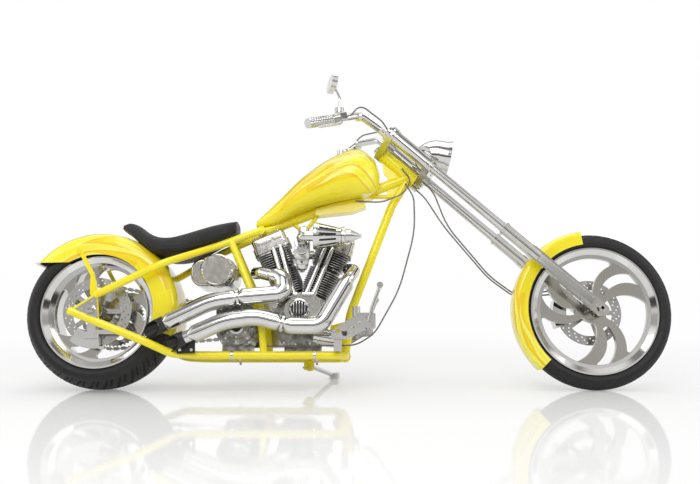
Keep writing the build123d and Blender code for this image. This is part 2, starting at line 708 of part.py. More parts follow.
with BuildPart() as air_cleaner:
    add(tube([(INTAKE_X, CARB_Y - 56, CLEANER_Z - 12), (INTAKE_X, CLEANER_Y, CLEANER_Z),
              (CLEANER_X, CLEANER_Y, CLEANER_Z)], [27], 22).part)
    with BuildSketch(Plane(origin=(CLEANER_X, CLEANER_Y, CLEANER_Z), x_dir=(1, 0, 0), z_dir=(0, -1, 0))):
        with BuildLine():
            Polyline((-6, 0), (-6, 56), (12, 56), (108, 34), (112, 38), (124, 38), (128, 30), (150, 28),
                     (CLEANER_L - TIP_R, TIP_R))
            CenterArc((CLEANER_L - TIP_R, 0), TIP_R, 90, -90)
            Line((CLEANER_L, 0), (-6, 0))
        make_face()
    revolve(axis=Axis((CLEANER_X, CLEANER_Y, CLEANER_Z), (1, 0, 0)))
    with BuildSketch(Plane(origin=(CLEANER_X + 18, CLEANER_Y, CLEANER_Z), x_dir=(0, 1, 0), z_dir=(1, 0, 0))):
        with PolarLocations(46, 12):
            Rectangle(20, 9)
    extrude(amount=84, mode=Mode.SUBTRACT)
    add(carburettor.part, mode=Mode.SUBTRACT)

GEARBOX_HALF = 92.0
CHAIN_X = 618.0                 # gearbox sprocket
CHAIN_Z = 300.0
CHAIN_R = 48.0                  # inside of the chain round it
with BuildPart() as gearbox:
    with BuildSketch(side_plane(-GEARBOX_HALF)):
        with BuildLine():
            Polyline((512, 230), (540, 186), (650, 186), (680, 240), (672, 372), (640, 398), (540, 388),
                     (508, 340), close=True)
        make_face()
        fillet(vertices(), radius=20)
    extrude(amount=-2 * GEARBOX_HALF)
    with BuildSketch(side_plane(-GEARBOX_HALF, 601, 262)):
        Circle(74)
    extrude(amount=22)
    with BuildSketch(side_plane(-GEARBOX_HALF - 22, 601, 262)):
        Circle(52)
    extrude(amount=12)
    chamfer(faces().sort_by(Axis.Y)[0].edges(), length=5)
    with BuildSketch(side_plane(GEARBOX_HALF, CHAIN_X, CHAIN_Z)):
        Circle(30)
    extrude(amount=-(166 - GEARBOX_HALF))
    with BuildSketch(side_plane(SPROCKET_Y - SPROCKET_T / 2, CHAIN_X, CHAIN_Z)):
        Circle(CHAIN_R - GAP)
    extrude(amount=-SPROCKET_T)
    with BuildSketch(Plane.XY.offset(RAIL_Z + RAIL_R + 1)):
        with Locations((596, 0)):
            Rectangle(120, 150)
    extrude(amount=40)

PRIMARY_IN = 166.0
PRIMARY_OUT = 220.0
with BuildPart() as primary_cover:
    with BuildSketch(side_plane(PRIMARY_IN)):
        with Locations((CRANK_X, CRANK_Z)):
            Circle(92)
        with Locations((CHAIN_X, CHAIN_Z + 6)):
            Circle(112)
        make_hull()
    extrude(amount=-(PRIMARY_OUT - PRIMARY_IN))
    fillet(faces().sort_by(Axis.Y)[-1].edges(), radius=14)
    with BuildSketch(side_plane(PRIMARY_OUT, CHAIN_X, CHAIN_Z + 6)):
        Circle(66)
    extrude(amount=-9)
    with BuildSketch(side_plane(PRIMARY_OUT, CRANK_X, CRANK_Z)):
        Circle(40)
    extrude(amount=-9)
    with BuildSketch(side_plane(142, CRANK_X, CRANK_Z)):
        Circle(62)
    extrude(amount=-(PRIMARY_IN - 142))

CHAIN_LINKS = 57                # pairs of links round the loop
CHAIN_MID = 7.5                 # middle of a link, out from the inside of the chain
CHAIN_CORE = 3.0                # half the height between the links
CHAIN_LIFT = 6.5                # inside of the chain, over the rear sprocket


def chain_loop(out):
    """The outline round both sprockets, at a distance out from the inside of the chain."""
    with BuildSketch() as loop:
        with Locations((0, REAR_Z)):
            Circle(SPROCKET_R + CHAIN_LIFT + out)
        with Locations((CHAIN_X, CHAIN_Z)):
            Circle(CHAIN_R + out)
        make_hull()
    return loop.sketch


chain_line = chain_loop(CHAIN_MID).face().outer_wire()
with BuildPart() as drive_chain:
    with BuildSketch(side_plane(SPROCKET_Y - 8.5)):
        add(chain_loop(CHAIN_MID + CHAIN_CORE))
        add(chain_loop(CHAIN_MID - CHAIN_CORE), mode=Mode.SUBTRACT)
        for link in range(CHAIN_LINKS):
            at = chain_line.position_at(link / CHAIN_LINKS)
            turn = chain_line.tangent_angle_at(link / CHAIN_LINKS)
            with Locations(Location((at.X, at.Y, 0), (0, 0, turn))):
                Rectangle(22, 2 * CHAIN_MID)
    extrude(amount=-17)

DRUM_X = 510.0
DRUM_Z = 520.0
DRUM_LUG_R = 10.0
with BuildPart() as oil_tank:
    with BuildSketch(side_plane(-96)):
        with Locations((DRUM_X - 20, DRUM_Z - 16)):
            RectangleRounded(196, 124, 50)
    extrude(amount=-192)
    fillet(faces().sort_by(Axis.Y)[0].edges() + faces().sort_by(Axis.Y)[-1].edges(), radius=12)
    with BuildSketch(side_plane(-90, DRUM_X, DRUM_Z - 14)):
        Circle(72)
    extrude(amount=46)
    chamfer(faces().sort_by(Axis.Y)[0].edges(), length=8)
    add(tube([(560, -78, DRUM_Z), (612, -92, DRUM_Z)], [], DRUM_LUG_R, both=True).part)
    add(frame_stays.part, mode=Mode.SUBTRACT)
    add(seat_posts.part, mode=Mode.SUBTRACT)

with BuildPart() as oil_filter:
    with BuildSketch(Plane(origin=(930, -60, 232), x_dir=(0, 1, 0), z_dir=(1, 0, -0.18))):
        Circle(36)
    extrude(amount=92)
    for ring in range(5):
        with BuildSketch(Plane(origin=(950 + ring * 14, -60, 232 - 0.18 * (20 + ring * 14)),
                               x_dir=(0, 1, 0), z_dir=(1, 0, -0.18))):
            Circle(40)
        extrude(amount=5)
    for piece in (crankcase, cam_cover, frame_downtube, frame_rails):
        add(piece.part, mode=Mode.SUBTRACT)

finish(carburettor, "carburettor")
finish(air_cleaner, "air_cleaner")
finish(gearbox, "gearbox")
finish(primary_cover, "primary_cover")
finish(drive_chain, "drive_chain")
finish(oil_tank, "oil_tank")
finish(oil_filter, "oil_filter")

# ---------------------------------------------------------------- exhausts
PIPE_R = 27.0
PIPE_WALL = 2.5
PIPE_MOUTH = 90.0               # depth of the open end
PIPE_Y = -174.0
REAR_PIPE = [(CRANK_X - 205, -58, CRANK_Z + 217), (CRANK_X - 177, -96, CRANK_Z + 212), (798, -150, 468),
             (806, -172, 398), (640, PIPE_Y, 384), (500, PIPE_Y, 366), (236, PIPE_Y, 238)]
FRONT_PIPE = [(CRANK_X + 199, -58, CRANK_Z + 232), (CRANK_X + 227, -96, CRANK_Z + 224), (1082, -160, 470),
              (962, PIPE_Y - 14, 262), (840, PIPE_Y - 14, 262), (690, PIPE_Y - 12, 300),
              (560, PIPE_Y - 12, 282), (322, PIPE_Y - 6, 178)]
PORT_R = 17.0
PORT_OUT = 290.0                # exhaust ports, out from the crank's axis


def exhaust(path, radii, name):
    """A pipe with an open end, and a stub that runs back between the fins to its port in the head."""
    side = -1 if TILTS[name] < 0 else 1
    port = cylinder_plane(TILTS[name], PORT_OUT, -40).from_local_coords((side * 58, 0, 0))
    end = Vector(*path[-1])
    with BuildPart() as made:
        add(tube(path, radii, PIPE_R).part)
        add(tube([tuple(port), path[0]], [], PORT_R).part)
        with BuildSketch(Plane(origin=end, z_dir=Vector(*path[-2]) - end)):
            Circle(PIPE_R - PIPE_WALL)
        extrude(amount=PIPE_MOUTH, mode=Mode.SUBTRACT)
        for piece in (rear_cylinder, front_cylinder, rocker_boxes):
            add(piece.part, mode=Mode.SUBTRACT)
    return made


REAR_BENDS = [30, 34, 34, 160, 300]
FRONT_BENDS = [30, 40, 60, 160, 200, 300]
rear_exhaust = exhaust(REAR_PIPE, REAR_BENDS, "rear")
front_exhaust = exhaust(FRONT_PIPE, FRONT_BENDS, "front")

PIPE_HANGER_Y = -172.0
with BuildPart() as pipe_hanger:
    with BuildSketch(side_plane(PIPE_HANGER_Y + 8)):
        with BuildLine():
            Polyline((362, 145), (438, 149), (436, 222), (398, 206), (362, 188), close=True)
        make_face()
        fillet(vertices(), radius=5)
    extrude(amount=8)
    with BuildSketch(side_plane(PIPE_HANGER_Y - 5)):
        with Locations((376, 162), (424, 162)):
            Circle(8)
    extrude(amount=-35)
    for piece in (frame_rails, tube(FRONT_PIPE, FRONT_BENDS, PIPE_R)):
        add(piece.part, mode=Mode.SUBTRACT)
finish(rear_exhaust, "rear_exhaust")
finish(front_exhaust, "front_exhaust")
finish(pipe_hanger, "pipe_hanger")


# ---------------------------------------------------------------- fork and steering
def fork_plane(up, ahead=0.0, left=0.0):
    """A plane square to the fork legs: local x is ahead, local y is left."""
    return Plane(origin=fork_point(ahead, left, up), x_dir=FORK.x_dir, z_dir=FORK.z_dir)


def leg_side_plane(y):
    """A plane facing the right side along the fork: local x is ahead, local y is up the leg."""
    return Plane(origin=fork_point(0, y, 0), x_dir=FORK.x_dir, z_dir=(0, -1, 0))


FORK_TOP = TREE_TOP + TREE_T + 8
COLLAR_TOP = 540.0
COLLAR_R = 26.0
STEM_TOP = TREE_TOP + TREE_T + 6
with BuildPart() as triple_trees:
    for low in (TREE_LOW, TREE_TOP):
        with BuildSketch(fork_plane(low)):
            with Locations((0, FORK_Y), (0, -FORK_Y)):
                Circle(35)
            with Locations((-STEM_SET, 0)):
                Circle(36)
            make_hull()
            with Locations((84, 0)):
                Circle(82, mode=Mode.SUBTRACT)
            with Locations((0, FORK_Y), (0, -FORK_Y)):
                Circle(FORK_TUBE_R, mode=Mode.SUBTRACT)
        extrude(amount=TREE_T)
    with BuildSketch(fork_plane(TREE_LOW - 6, -STEM_SET)):
        Circle(STEM_R)
    extrude(amount=STEM_TOP - TREE_LOW + 6)

with BuildPart() as fork_tubes:
    for side in (-1, 1):
        with BuildSketch(fork_plane(COLLAR_TOP, 0, side * FORK_Y)):
            Circle(FORK_TUBE_R)
        extrude(amount=FORK_TOP - COLLAR_TOP)
        with BuildSketch(fork_plane(TREE_LOW + TREE_T, 0, side * FORK_Y)):
            Circle(FORK_COVER_R)
        extrude(amount=TREE_TOP - TREE_LOW - TREE_T)
        with BuildSketch(fork_plane(TREE_TOP + TREE_T, 0, side * FORK_Y)):
            Circle(FORK_TUBE_R + 4)
        extrude(amount=12)

with BuildPart() as fork_lowers:
    with BuildSketch(leg_side_plane(-FORK_Y - LOWER_T / 2)):
        with Locations((0, (LOWER_TOP - LOWER_END) / 2)):
            RectangleRounded(LOWER_W, LOWER_TOP + LOWER_END, LOWER_W / 2 - 2)
    extrude(amount=-LOWER_T)
    with BuildSketch(fork_plane(LOWER_TOP - 60, 0, -FORK_Y)):
        Circle(COLLAR_R)
    extrude(amount=COLLAR_TOP - LOWER_TOP + 60)
    with BuildSketch(fork_plane(COLLAR_TOP - 16, 0, -FORK_Y)):
        Circle(COLLAR_R + 4)
    extrude(amount=12)
    with BuildSketch(leg_side_plane(-FORK_Y - LOWER_T / 2)):
        with Locations((0, 205)):
            RectangleRounded(LOWER_W - 18, 330, 12)
    extrude(amount=-2.5, mode=Mode.SUBTRACT)
    with BuildSketch(leg_side_plane(-FORK_Y - LOWER_T / 2)):
        Circle(FRONT_AXLE_R)
    extrude(amount=-LOWER_T, mode=Mode.SUBTRACT)
    mirror(about=Plane.XZ)

LEG_OUT = FORK_Y + LOWER_T / 2
LEG_IN = FORK_Y - LOWER_T / 2
with BuildPart() as front_axle:
    with BuildSketch(leg_side_plane(-LEG_OUT - 18)):
        Circle(FRONT_AXLE_R)
    extrude(amount=-2 * (LEG_OUT + 18))
    with BuildSketch(leg_side_plane(-LEG_OUT - 12)):
        RegularPolygon(17, 6)
    extrude(amount=-12)
    with BuildSketch(leg_side_plane(LEG_OUT)):
        RegularPolygon(17, 6)
    extrude(amount=-12)
    with BuildSketch(leg_side_plane(-LEG_IN)):
        Circle(FRONT_AXLE_R + 6)
    extrude(amount=-(LEG_IN + FRONT_HUB_RIGHT - 1))
    with BuildSketch(leg_side_plane(FRONT_DISC_Y + DISC_T / 2 + 1)):
        Circle(FRONT_AXLE_R + 6)
    extrude(amount=-(LEG_IN - FRONT_DISC_Y - DISC_T / 2 - 1))
    with BuildSketch(leg_side_plane(-LEG_OUT - 18)):
        Circle(AXLE_BORE_R)
    extrude(amount=-2 * (LEG_OUT + 18), mode=Mode.SUBTRACT)

FENDER_MOUNTS = (175.0, 250.0)  # bosses on the fork legs, up from the axle
FRONT_FENDER_OUT = FRONT_FENDER_HALF + FRONT_FENDER_T
with BuildPart() as front_fender:
    add(fender(WHEELBASE, FRONT_Z, FRONT_FENDER_IN, FRONT_SKIRT_R, FRONT_FENDER_HALF, FRONT_FENDER_T,
               24, 226, 128).part)
    with BuildSketch(side_plane(-FRONT_FENDER_OUT, WHEELBASE, FRONT_Z)):
        with BuildLine():
            Polyline((-128, 274), (-240, 184), (-204, 146), (-138, 98), (-112, 122), (-168, 176),
                     (-118, 262), close=True)
        make_face()
        fillet(vertices(), radius=9)
    extrude(amount=-FRONT_FENDER_T)
    for up in FENDER_MOUNTS:
        with BuildSketch(leg_side_plane(-LEG_IN)):
            with Locations((0, up)):
                Circle(9)
        extrude(amount=-(LEG_IN - FRONT_FENDER_OUT))
    mirror(about=Plane.XZ)

with BuildPart() as front_caliper:
    with BuildSketch(side_plane(88, WHEELBASE, FRONT_Z)):
        with BuildLine():
            ThreePointArc((-156, 62), (-168, 0), (-152, -72))
            Line((-152, -72), (-100, -48))
            ThreePointArc((-100, -48), (-108, 0), (-100, 44))
            Line((-100, 44), (-156, 62))
        make_face()
        fillet(vertices(), radius=8)
    extrude(amount=60)
    with BuildSketch(side_plane(FRONT_DISC_Y + DISC_T / 2 + 5, WHEELBASE, FRONT_Z)):
        Circle(DISC_R + 5)
    extrude(amount=DISC_T + 10, mode=Mode.SUBTRACT)
    with BuildSketch(side_plane(88, WHEELBASE, FRONT_Z)):
        with BuildLine():
            Polyline((-150, 60), (-112, 96), (-60, 60), (-96, 20), close=True)
        make_face()
        fillet(vertices(), radius=6)
    extrude(amount=12)
    with BuildSketch(leg_side_plane(LEG_IN)):
        with Locations((0, 105), (0, 130)):
            Circle(7)
    extrude(amount=LEG_IN - 88)

with BuildPart() as rear_caliper:
    with BuildSketch(side_plane(-146, 0, REAR_Z)):
        with BuildLine():
            ThreePointArc((-98, -126), (-40, -156), (30, -158))
            Line((30, -158), (22, -92))
            ThreePointArc((22, -92), (-26, -92), (-64, -72))
            Line((-64, -72), (-98, -126))
        make_face()
        fillet(vertices(), radius=8)
    extrude(amount=-64)
    with BuildSketch(side_plane(REAR_DISC_Y - DISC_T / 2 - 5, 0, REAR_Z)):
        Circle(DISC_R + 5)
    extrude(amount=-DISC_T - 10, mode=Mode.SUBTRACT)
    with BuildSketch(side_plane(-154, 0, REAR_Z)):
        with Locations((-8, -105)):
            RectangleRounded(70, 30, 10)
        Circle(34)
        with Locations((-5, -55)):
            Rectangle(36, 90)
        with Locations((75, -92)):
            Rectangle(150, 18)
        Circle(REAR_AXLE_R + 6 + FIT, mode=Mode.SUBTRACT)
    extrude(amount=-8)
    with BuildSketch(side_plane(-STAY_Y, 142, 238)):
        Circle(10)
    extrude(amount=-(STAY_Y - 146))
    for piece in (frame_rails, rear_axle):
        add(piece.part, mode=Mode.SUBTRACT)

BAR_R = 15.0
GRIP_R = 19.0
GRIP_L = 128.0
GRIP_RIBS = 8
BAR_CLAMP_Y = 62.0
BAR_END = fork_point(-264.5, -372, 1414.9)
BAR_BEND = fork_point(-148.2, -266, 1371)
BAR_CROWN = fork_point(-54.1, -190, 1334)
BAR_PATH = [tuple(fork_point(-8, -BAR_CLAMP_Y, TREE_TOP + TREE_T)), tuple(fork_point(-10.3, -74, 1251.3)),
            tuple(BAR_CROWN), tuple(BAR_BEND), tuple(BAR_END)]
BAR_RADII = [40, 120, 120]
GRIP_DIR = (BAR_END - BAR_BEND).normalized()
with BuildPart() as handlebar:
    add(tube(BAR_PATH, BAR_RADII, BAR_R).part)
    with BuildSketch(fork_plane(TREE_TOP + TREE_T, -8, -BAR_CLAMP_Y)):
        Circle(22)
    extrude(amount=18)
    with BuildSketch(Plane(origin=BAR_CROWN + Vector(0, 3, -6), z_dir=(1, -0.2, 0))):
        Circle(BAR_R + 4)
    extrude(amount=14, both=True)
    mirror(about=Plane.XZ)
    add(triple_trees.part, mode=Mode.SUBTRACT)

with BuildPart() as grips:
    with BuildSketch(Plane(origin=BAR_END - GRIP_DIR * (GRIP_L - 12), z_dir=GRIP_DIR)):
        Circle(GRIP_R)
    extrude(amount=GRIP_L)
    for rib in range(GRIP_RIBS):
        with BuildSketch(Plane(origin=BAR_END - GRIP_DIR * (GRIP_L - 26 - rib * 14), z_dir=GRIP_DIR)):
            Circle(GRIP_R + 2.5)
        extrude(amount=8)
    with BuildSketch(Plane(origin=BAR_END + GRIP_DIR * 8, z_dir=GRIP_DIR)):
        Circle(GRIP_R + 2)
    extrude(amount=12)
    mirror(about=Plane.XZ)
    add(handlebar.part, mode=Mode.SUBTRACT)

PERCH = BAR_END - GRIP_DIR * (GRIP_L + 10)
LEVER_DROP = Vector(42, -10, -14)
with BuildPart() as hand_controls:
    with BuildSketch(Plane(origin=PERCH - GRIP_DIR * 14, z_dir=GRIP_DIR)):
        Circle(GRIP_R + 3)
    extrude(amount=26)
    with BuildSketch(Plane(origin=PERCH + Vector(30, 0, 12), z_dir=GRIP_DIR)):
        RectangleRounded(34, 40, 8)
    extrude(amount=20, both=True)
    with BuildSketch(Plane(origin=PERCH + Vector(22, 4, 30), z_dir=(0, 0, 1))):
        Circle(20)
    extrude(amount=22)
    add(tube([tuple(PERCH + Vector(34, 0, 0)), tuple(PERCH + LEVER_DROP * 1.3 + GRIP_DIR * 40),
              tuple(PERCH + LEVER_DROP * 1.3 + GRIP_DIR * 165)], [40], 6).part)
    mirror(about=Plane.XZ)
    add(tube(BAR_PATH, BAR_RADII, BAR_R + GAP, both=True).part, mode=Mode.SUBTRACT)

MIRROR_AT = PERCH + Vector(22, 4, 52)
with BuildPart() as rear_mirror:
    add(tube([tuple(MIRROR_AT), tuple(MIRROR_AT + Vector(2, -2, 44)), tuple(MIRROR_AT + Vector(-26, -14, 100))],
             [40], 5).part)
    with BuildSketch(Plane(origin=MIRROR_AT + Vector(-30, -16, 104), x_dir=(0.25, -1, 0), z_dir=(-1, -0.25, 0.12))):
        RectangleRounded(112, 62, 26)
    extrude(amount=12, both=True)
    add(hand_controls.part, mode=Mode.SUBTRACT)

LAMP_FACE = fork_point(119, 0, 933)
LAMP_TILT = 12.0
LAMP_R = 75.0
LAMP_L = 150.0
LAMP_DIR = Vector(cos(radians(LAMP_TILT)), 0, -sin(radians(LAMP_TILT)))
LAMP = Plane(origin=LAMP_FACE, x_dir=LAMP_DIR, z_dir=(0, -1, 0))
with BuildPart() as headlamp:
    with BuildSketch(LAMP):
        with BuildLine():
            Polyline((-LAMP_L, 0), (-LAMP_L, 14))
            ThreePointArc((-LAMP_L, 14), (-LAMP_L + 40, 56), (-LAMP_L + 96, LAMP_R - 3))
            Polyline((-LAMP_L + 96, LAMP_R - 3), (-12, LAMP_R - 1), (-12, LAMP_R + 3), (3, LAMP_R + 3),
                     (3, LAMP_R - 5), (-6, LAMP_R - 5), (-40, 34), (-40, 0), (-LAMP_L, 0))
        make_face()
    revolve(axis=Axis(LAMP_FACE, LAMP_DIR))
    with BuildSketch(Plane(origin=fork_point(-12, 0, TREE_LOW + TREE_T), z_dir=(0.2, 0, 1))):
        Circle(13)
    extrude(amount=34)
    add(triple_trees.part, mode=Mode.SUBTRACT)

LENS_R = LAMP_R - 5 - GAP
LENS_DOME = 9.0
DOME_R = (LENS_R**2 + LENS_DOME**2) / (2 * LENS_DOME)
with BuildPart() as headlamp_lens:
    with BuildSketch(LAMP):
        with BuildLine():
            Line((-6, 0), (-6, LENS_R))
            Line((-6, LENS_R), (0, LENS_R))
            ThreePointArc((0, LENS_R), (LENS_DOME - DOME_R + sqrt(DOME_R**2 - LENS_R**2 / 4), LENS_R / 2),
                          (LENS_DOME, 0))
            Line((LENS_DOME, 0), (-6, 0))
        make_face()
    revolve(axis=Axis(LAMP_FACE, LAMP_DIR))

finish(triple_trees, "triple_trees")
finish(fork_tubes, "fork_tubes")
finish(fork_lowers, "fork_lowers")
finish(front_axle, "front_axle")
finish(front_fender, "front_fender")
finish(front_caliper, "front_caliper")
finish(rear_caliper, "rear_caliper")
finish(handlebar, "handlebar")
finish(grips, "grips")
finish(hand_controls, "hand_controls")
finish(rear_mirror, "rear_mirror")
finish(headlamp, "headlamp")
finish(headlamp_lens, "headlamp_lens")

# ---------------------------------------------------------------- foot controls and side stand
PEG_Y = 300.0
CONTROL_Y = 178.0
PEDAL_Y = CONTROL_Y + 22


def control_plane(y, ahead=0.0, up=0.0):
    """A plane facing the right side, measured from the frame's front cross tube."""
    return side_plane(y, FOOT_X + ahead, RAIL_Z + up)


with BuildPart() as foot_controls:
    with BuildSketch(control_plane(-CONTROL_Y)):
        with BuildLine():
            Polyline((-62, 64), (-54, 98), (-12, 128), (64, 174), (128, 174), (128, 108), (82, 104), (10, 62),
                     close=True)
        make_face()
        fillet(vertices(), radius=8)
        with Locations((-30, 98), (34, 116), (60, 132)):
            Circle(8, mode=Mode.SUBTRACT)
    extrude(amount=10)
    with BuildSketch(control_plane(-CONTROL_Y - 2, -30, 48)):
        Rectangle(34, 70)
    extrude(amount=-(CONTROL_Y + 2 - RAIL_Y))
    with BuildSketch(control_plane(-PEG_Y, -2, 102)):
        Circle(17)
    extrude(amount=-(PEG_Y - CONTROL_Y - 10))
    add(tube([(FOOT_X + 96, -CONTROL_Y - 16, RAIL_Z + 120), (FOOT_X + 112, -CONTROL_Y - 16, RAIL_Z + 188),
              (FOOT_X + 142, -PEDAL_Y, RAIL_Z + 270)], [120], 8).part)
    with BuildSketch(control_plane(-CONTROL_Y - 30, 96, 120)):
        Circle(14)
    extrude(amount=-20)
    with BuildSketch(control_plane(-CONTROL_Y - 100, 144, 278)):
        Circle(13)
    extrude(amount=-84)
    with BuildSketch(Plane(origin=(FOOT_X + 48, -CONTROL_Y + 14, RAIL_Z + 158), z_dir=(0, 0, 1))):
        Circle(17)
    extrude(amount=44)
    mirror(about=Plane.XZ)
    add(frame_rails.part, mode=Mode.SUBTRACT)

STAND_PIVOT = Vector(900, 156, 112)
STAND_AXIS = Vector(0.118, 0.125, 0.985)
STAND_REACH = Vector(0.484, 0.859, -0.167)
STAND_L = 226.0
STAND_PIN_R = 8.0
STAND_EYE_R = 20.0
STAND_EYE_H = 24.0
STAND_LEG_R = 10.5
STAND_FOOT_R = 26.0
STAND = Plane(origin=STAND_PIVOT, x_dir=STAND_REACH, z_dir=STAND_AXIS)
LEG_END = STAND.from_local_coords((STAND_L, 0, 0))
FLOOR_Z0 = -PARK_RISE / COS_L


def height(point):
    """Height above the road of a point given upright."""
    return (point - Vector(0, 0, FLOOR_Z0)).dot(FLOOR_NORMAL)


with BuildPart() as side_stand:
    with BuildSketch(STAND.offset(-STAND_EYE_H / 2)):
        Circle(STAND_EYE_R)
        Circle(STAND_PIN_R + FIT, mode=Mode.SUBTRACT)
    extrude(amount=STAND_EYE_H)
    with BuildSketch(Plane(origin=STAND.from_local_coords((STAND_EYE_R - 4, 0, 0)), z_dir=STAND.x_dir)):
        Circle(STAND_LEG_R)
    extrude(amount=STAND_L - STAND_EYE_R + 4)
    foot_at = LEG_END - FLOOR_NORMAL * height(LEG_END)
    with BuildSketch(Plane(origin=foot_at, x_dir=(1, 0, 0), z_dir=FLOOR_NORMAL)):
        Circle(STAND_FOOT_R)
    extrude(amount=height(LEG_END) + STAND_LEG_R + 5)

with BuildPart() as stand_bracket:
    with BuildSketch(STAND.offset(-STAND_EYE_H / 2 - 8 - GAP)):
        Circle(STAND_EYE_R)
        with Locations((STAND.to_local_coords(Vector(900, RAIL_Y, 112)).X,
                        STAND.to_local_coords(Vector(900, RAIL_Y, 112)).Y)):
            Rectangle(34, 46)
    extrude(amount=8)
    with BuildSketch(STAND.offset(STAND_EYE_H / 2 + GAP)):
        Circle(STAND_EYE_R)
        with Locations((STAND.to_local_coords(Vector(900, RAIL_Y, 132)).X,
                        STAND.to_local_coords(Vector(900, RAIL_Y, 132)).Y)):
            Rectangle(34, 46)
    extrude(amount=8)
    with BuildSketch(STAND.offset(-STAND_EYE_H / 2 - 12)):
        Circle(STAND_PIN_R)
    extrude(amount=STAND_EYE_H + 24)
    with BuildSketch(Plane(origin=(900, RAIL_Y - 6, 116), x_dir=(1, 0, 0), z_dir=(0, 0, 1))):
        Rectangle(46, 12)
    extrude(amount=24, both=True)
    add(frame_rails.part, mode=Mode.SUBTRACT)

finish(foot_controls, "foot_controls")
finish(side_stand, "side_stand")
finish(stand_bracket, "stand_bracket")

# ---------------------------------------------------------------- coil box under the tank, and cables
COIL_HALF = 34.0
with BuildPart() as coil_box:
    with BuildSketch(side_plane(-COIL_HALF)):
        with BuildLine():
            Polyline((930, 773), (1095, 792), (1157, 815), (1141, 855), (1120, 850), (1010, 828), (930, 804),
                     close=True)
        make_face()
    extrude(amount=-2 * COIL_HALF)
    with BuildSketch(side_plane(-COIL_HALF)):
        with Locations((1098, 808), (1128, 820)):
            Circle(6)
    extrude(amount=3)
    add(frame_backbone.part, mode=Mode.SUBTRACT)

CABLE_R = 3.5
BAR_SHOULDER = fork_point(-10.3, -74, 1251.3)
LEVER_BODY = PERCH + Vector(30, 0, 12)
# along the bar, ahead of the upper tree, and down into the lower one
BAR_CABLE = [
    tuple(LEVER_BODY - GRIP_DIR * (20 + GAP)), tuple(LEVER_BODY - GRIP_DIR * 60),
    tuple(BAR_CROWN + Vector(4, -12, 46)), tuple(BAR_SHOULDER + Vector(16, 10, 42)),
    tuple(fork_point(26, -32, 1225)), tuple(fork_point(26, -32, 1060)), tuple(fork_point(0, -32, 1020)),
    tuple(fork_point(0, -32, TREE_LOW + TREE_T + GAP)),
]
# from under the lower tree to the caliper, in the fork frame
BRAKE_HOSES = [
    ([(-92, 10, TREE_LOW - GAP), (-92, 10, 900), (-136, 26, 740), (-172, 80, 440), (-158, 84, 288),
      (-40, 82, 178), (-40, 82, 151.6)], [200, 600, 350, 120, 30]),
    ([(-40, 24, TREE_LOW - GAP), (-40, 24, 890), (-124, 26, 735), (-161, 80, 440), (-148, 84, 292),
      (-24, 82, 186), (-24, 82, 151)], [150, 300, 350, 110, 35]),
]
# from the side of the downtube, bowed ahead of it, and back along the rail to the gearbox
CLUTCH_CABLE = [
    (1336, -22.8, 925), (1374, -24, 860), (1376, -26, 700), (1300, -60, 430), (1190, -100, 235), (1110, -103, 186),
    (726, -103, 181.4), (663.4, -103, 221.7),
]
# from the neck, in a low bow to the side of the coil box
THROTTLE_CABLE = [(1320, -35, 992), (1366, -42, 930), (1318, -38, 868), (1225, -38, 832), (1112, -38, 838)]

with BuildPart() as control_cables:
    add(tube(BAR_CABLE, [80, 90, 80, 40, 40, 40], CABLE_R, both=True).part)
    add(handlebar.part, mode=Mode.SUBTRACT)
with BuildPart() as brake_hoses:
    for places, radii in BRAKE_HOSES:
        add(tube([tuple(fork_point(*place)) for place in places], radii, CABLE_R).part)
with BuildPart() as frame_cables:
    add(tube(CLUTCH_CABLE, [100, 500, 600, 150, 120, 60], CABLE_R).part)
    add(tube(THROTTLE_CABLE, [45, 90, 150], CABLE_R).part)

finish(coil_box, "coil_box")
finish(control_cables, "control_cables")
finish(brake_hoses, "brake_hoses")
finish(frame_cables, "frame_cables")

# ---------------------------------------------------------------- origin on the road, under the middle
extent = Compound(finished).bounding_box()
for parked in finished:
    placed = parked.moved(Location((-extent.center().X, -extent.center().Y, -extent.min.Z)))
    placed.label = parked.label
    export_step(placed, f"parts/{placed.label}.step")
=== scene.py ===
import json
import logging
import math
from collections.abc import Callable, Iterable
from dataclasses import dataclass, field
from enum import Enum

import bpy
import numpy as np
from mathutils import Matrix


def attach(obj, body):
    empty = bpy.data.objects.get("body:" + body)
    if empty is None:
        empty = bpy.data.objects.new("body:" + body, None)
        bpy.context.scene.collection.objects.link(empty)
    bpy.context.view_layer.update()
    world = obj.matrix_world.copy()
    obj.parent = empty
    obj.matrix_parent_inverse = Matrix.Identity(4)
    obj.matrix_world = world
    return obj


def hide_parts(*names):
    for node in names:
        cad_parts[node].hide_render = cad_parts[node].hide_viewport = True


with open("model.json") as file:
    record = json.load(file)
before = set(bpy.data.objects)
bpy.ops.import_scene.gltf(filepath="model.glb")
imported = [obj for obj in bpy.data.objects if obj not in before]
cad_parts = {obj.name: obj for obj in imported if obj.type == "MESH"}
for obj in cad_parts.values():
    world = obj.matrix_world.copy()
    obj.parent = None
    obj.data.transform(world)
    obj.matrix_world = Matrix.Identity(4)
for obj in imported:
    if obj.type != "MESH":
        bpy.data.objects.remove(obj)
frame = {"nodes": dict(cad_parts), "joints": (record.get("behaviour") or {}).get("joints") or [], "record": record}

# Lengths are millimetres and angles are degrees. Points are given on the upright motorcycle:
# X forward from the rear axle, Y to the left, Z up from the road. Stance puts them where it leans.
# Shader expressions work in metres.

MM = 0.001
LOG = logging.getLogger("chopper")
Grid = np.ndarray
Point = tuple[float, float, float]
Pair = tuple[float, float]
Colour = tuple[float, float, float]
RIGHT, LEFT, AHEAD, UP, DOWN = np.array(((0, -1, 0), (0, 1, 0), (1, 0, 0), (0, 0, 1), (0, 0, -1)), float)
SIDES = (-1.0, 1.0)


class Body(Enum):
    """The bodies that pieces ride on."""

    CHASSIS = "chassis"
    FORK = "fork"
    FRONT = "front_wheel"
    REAR = "rear_wheel"


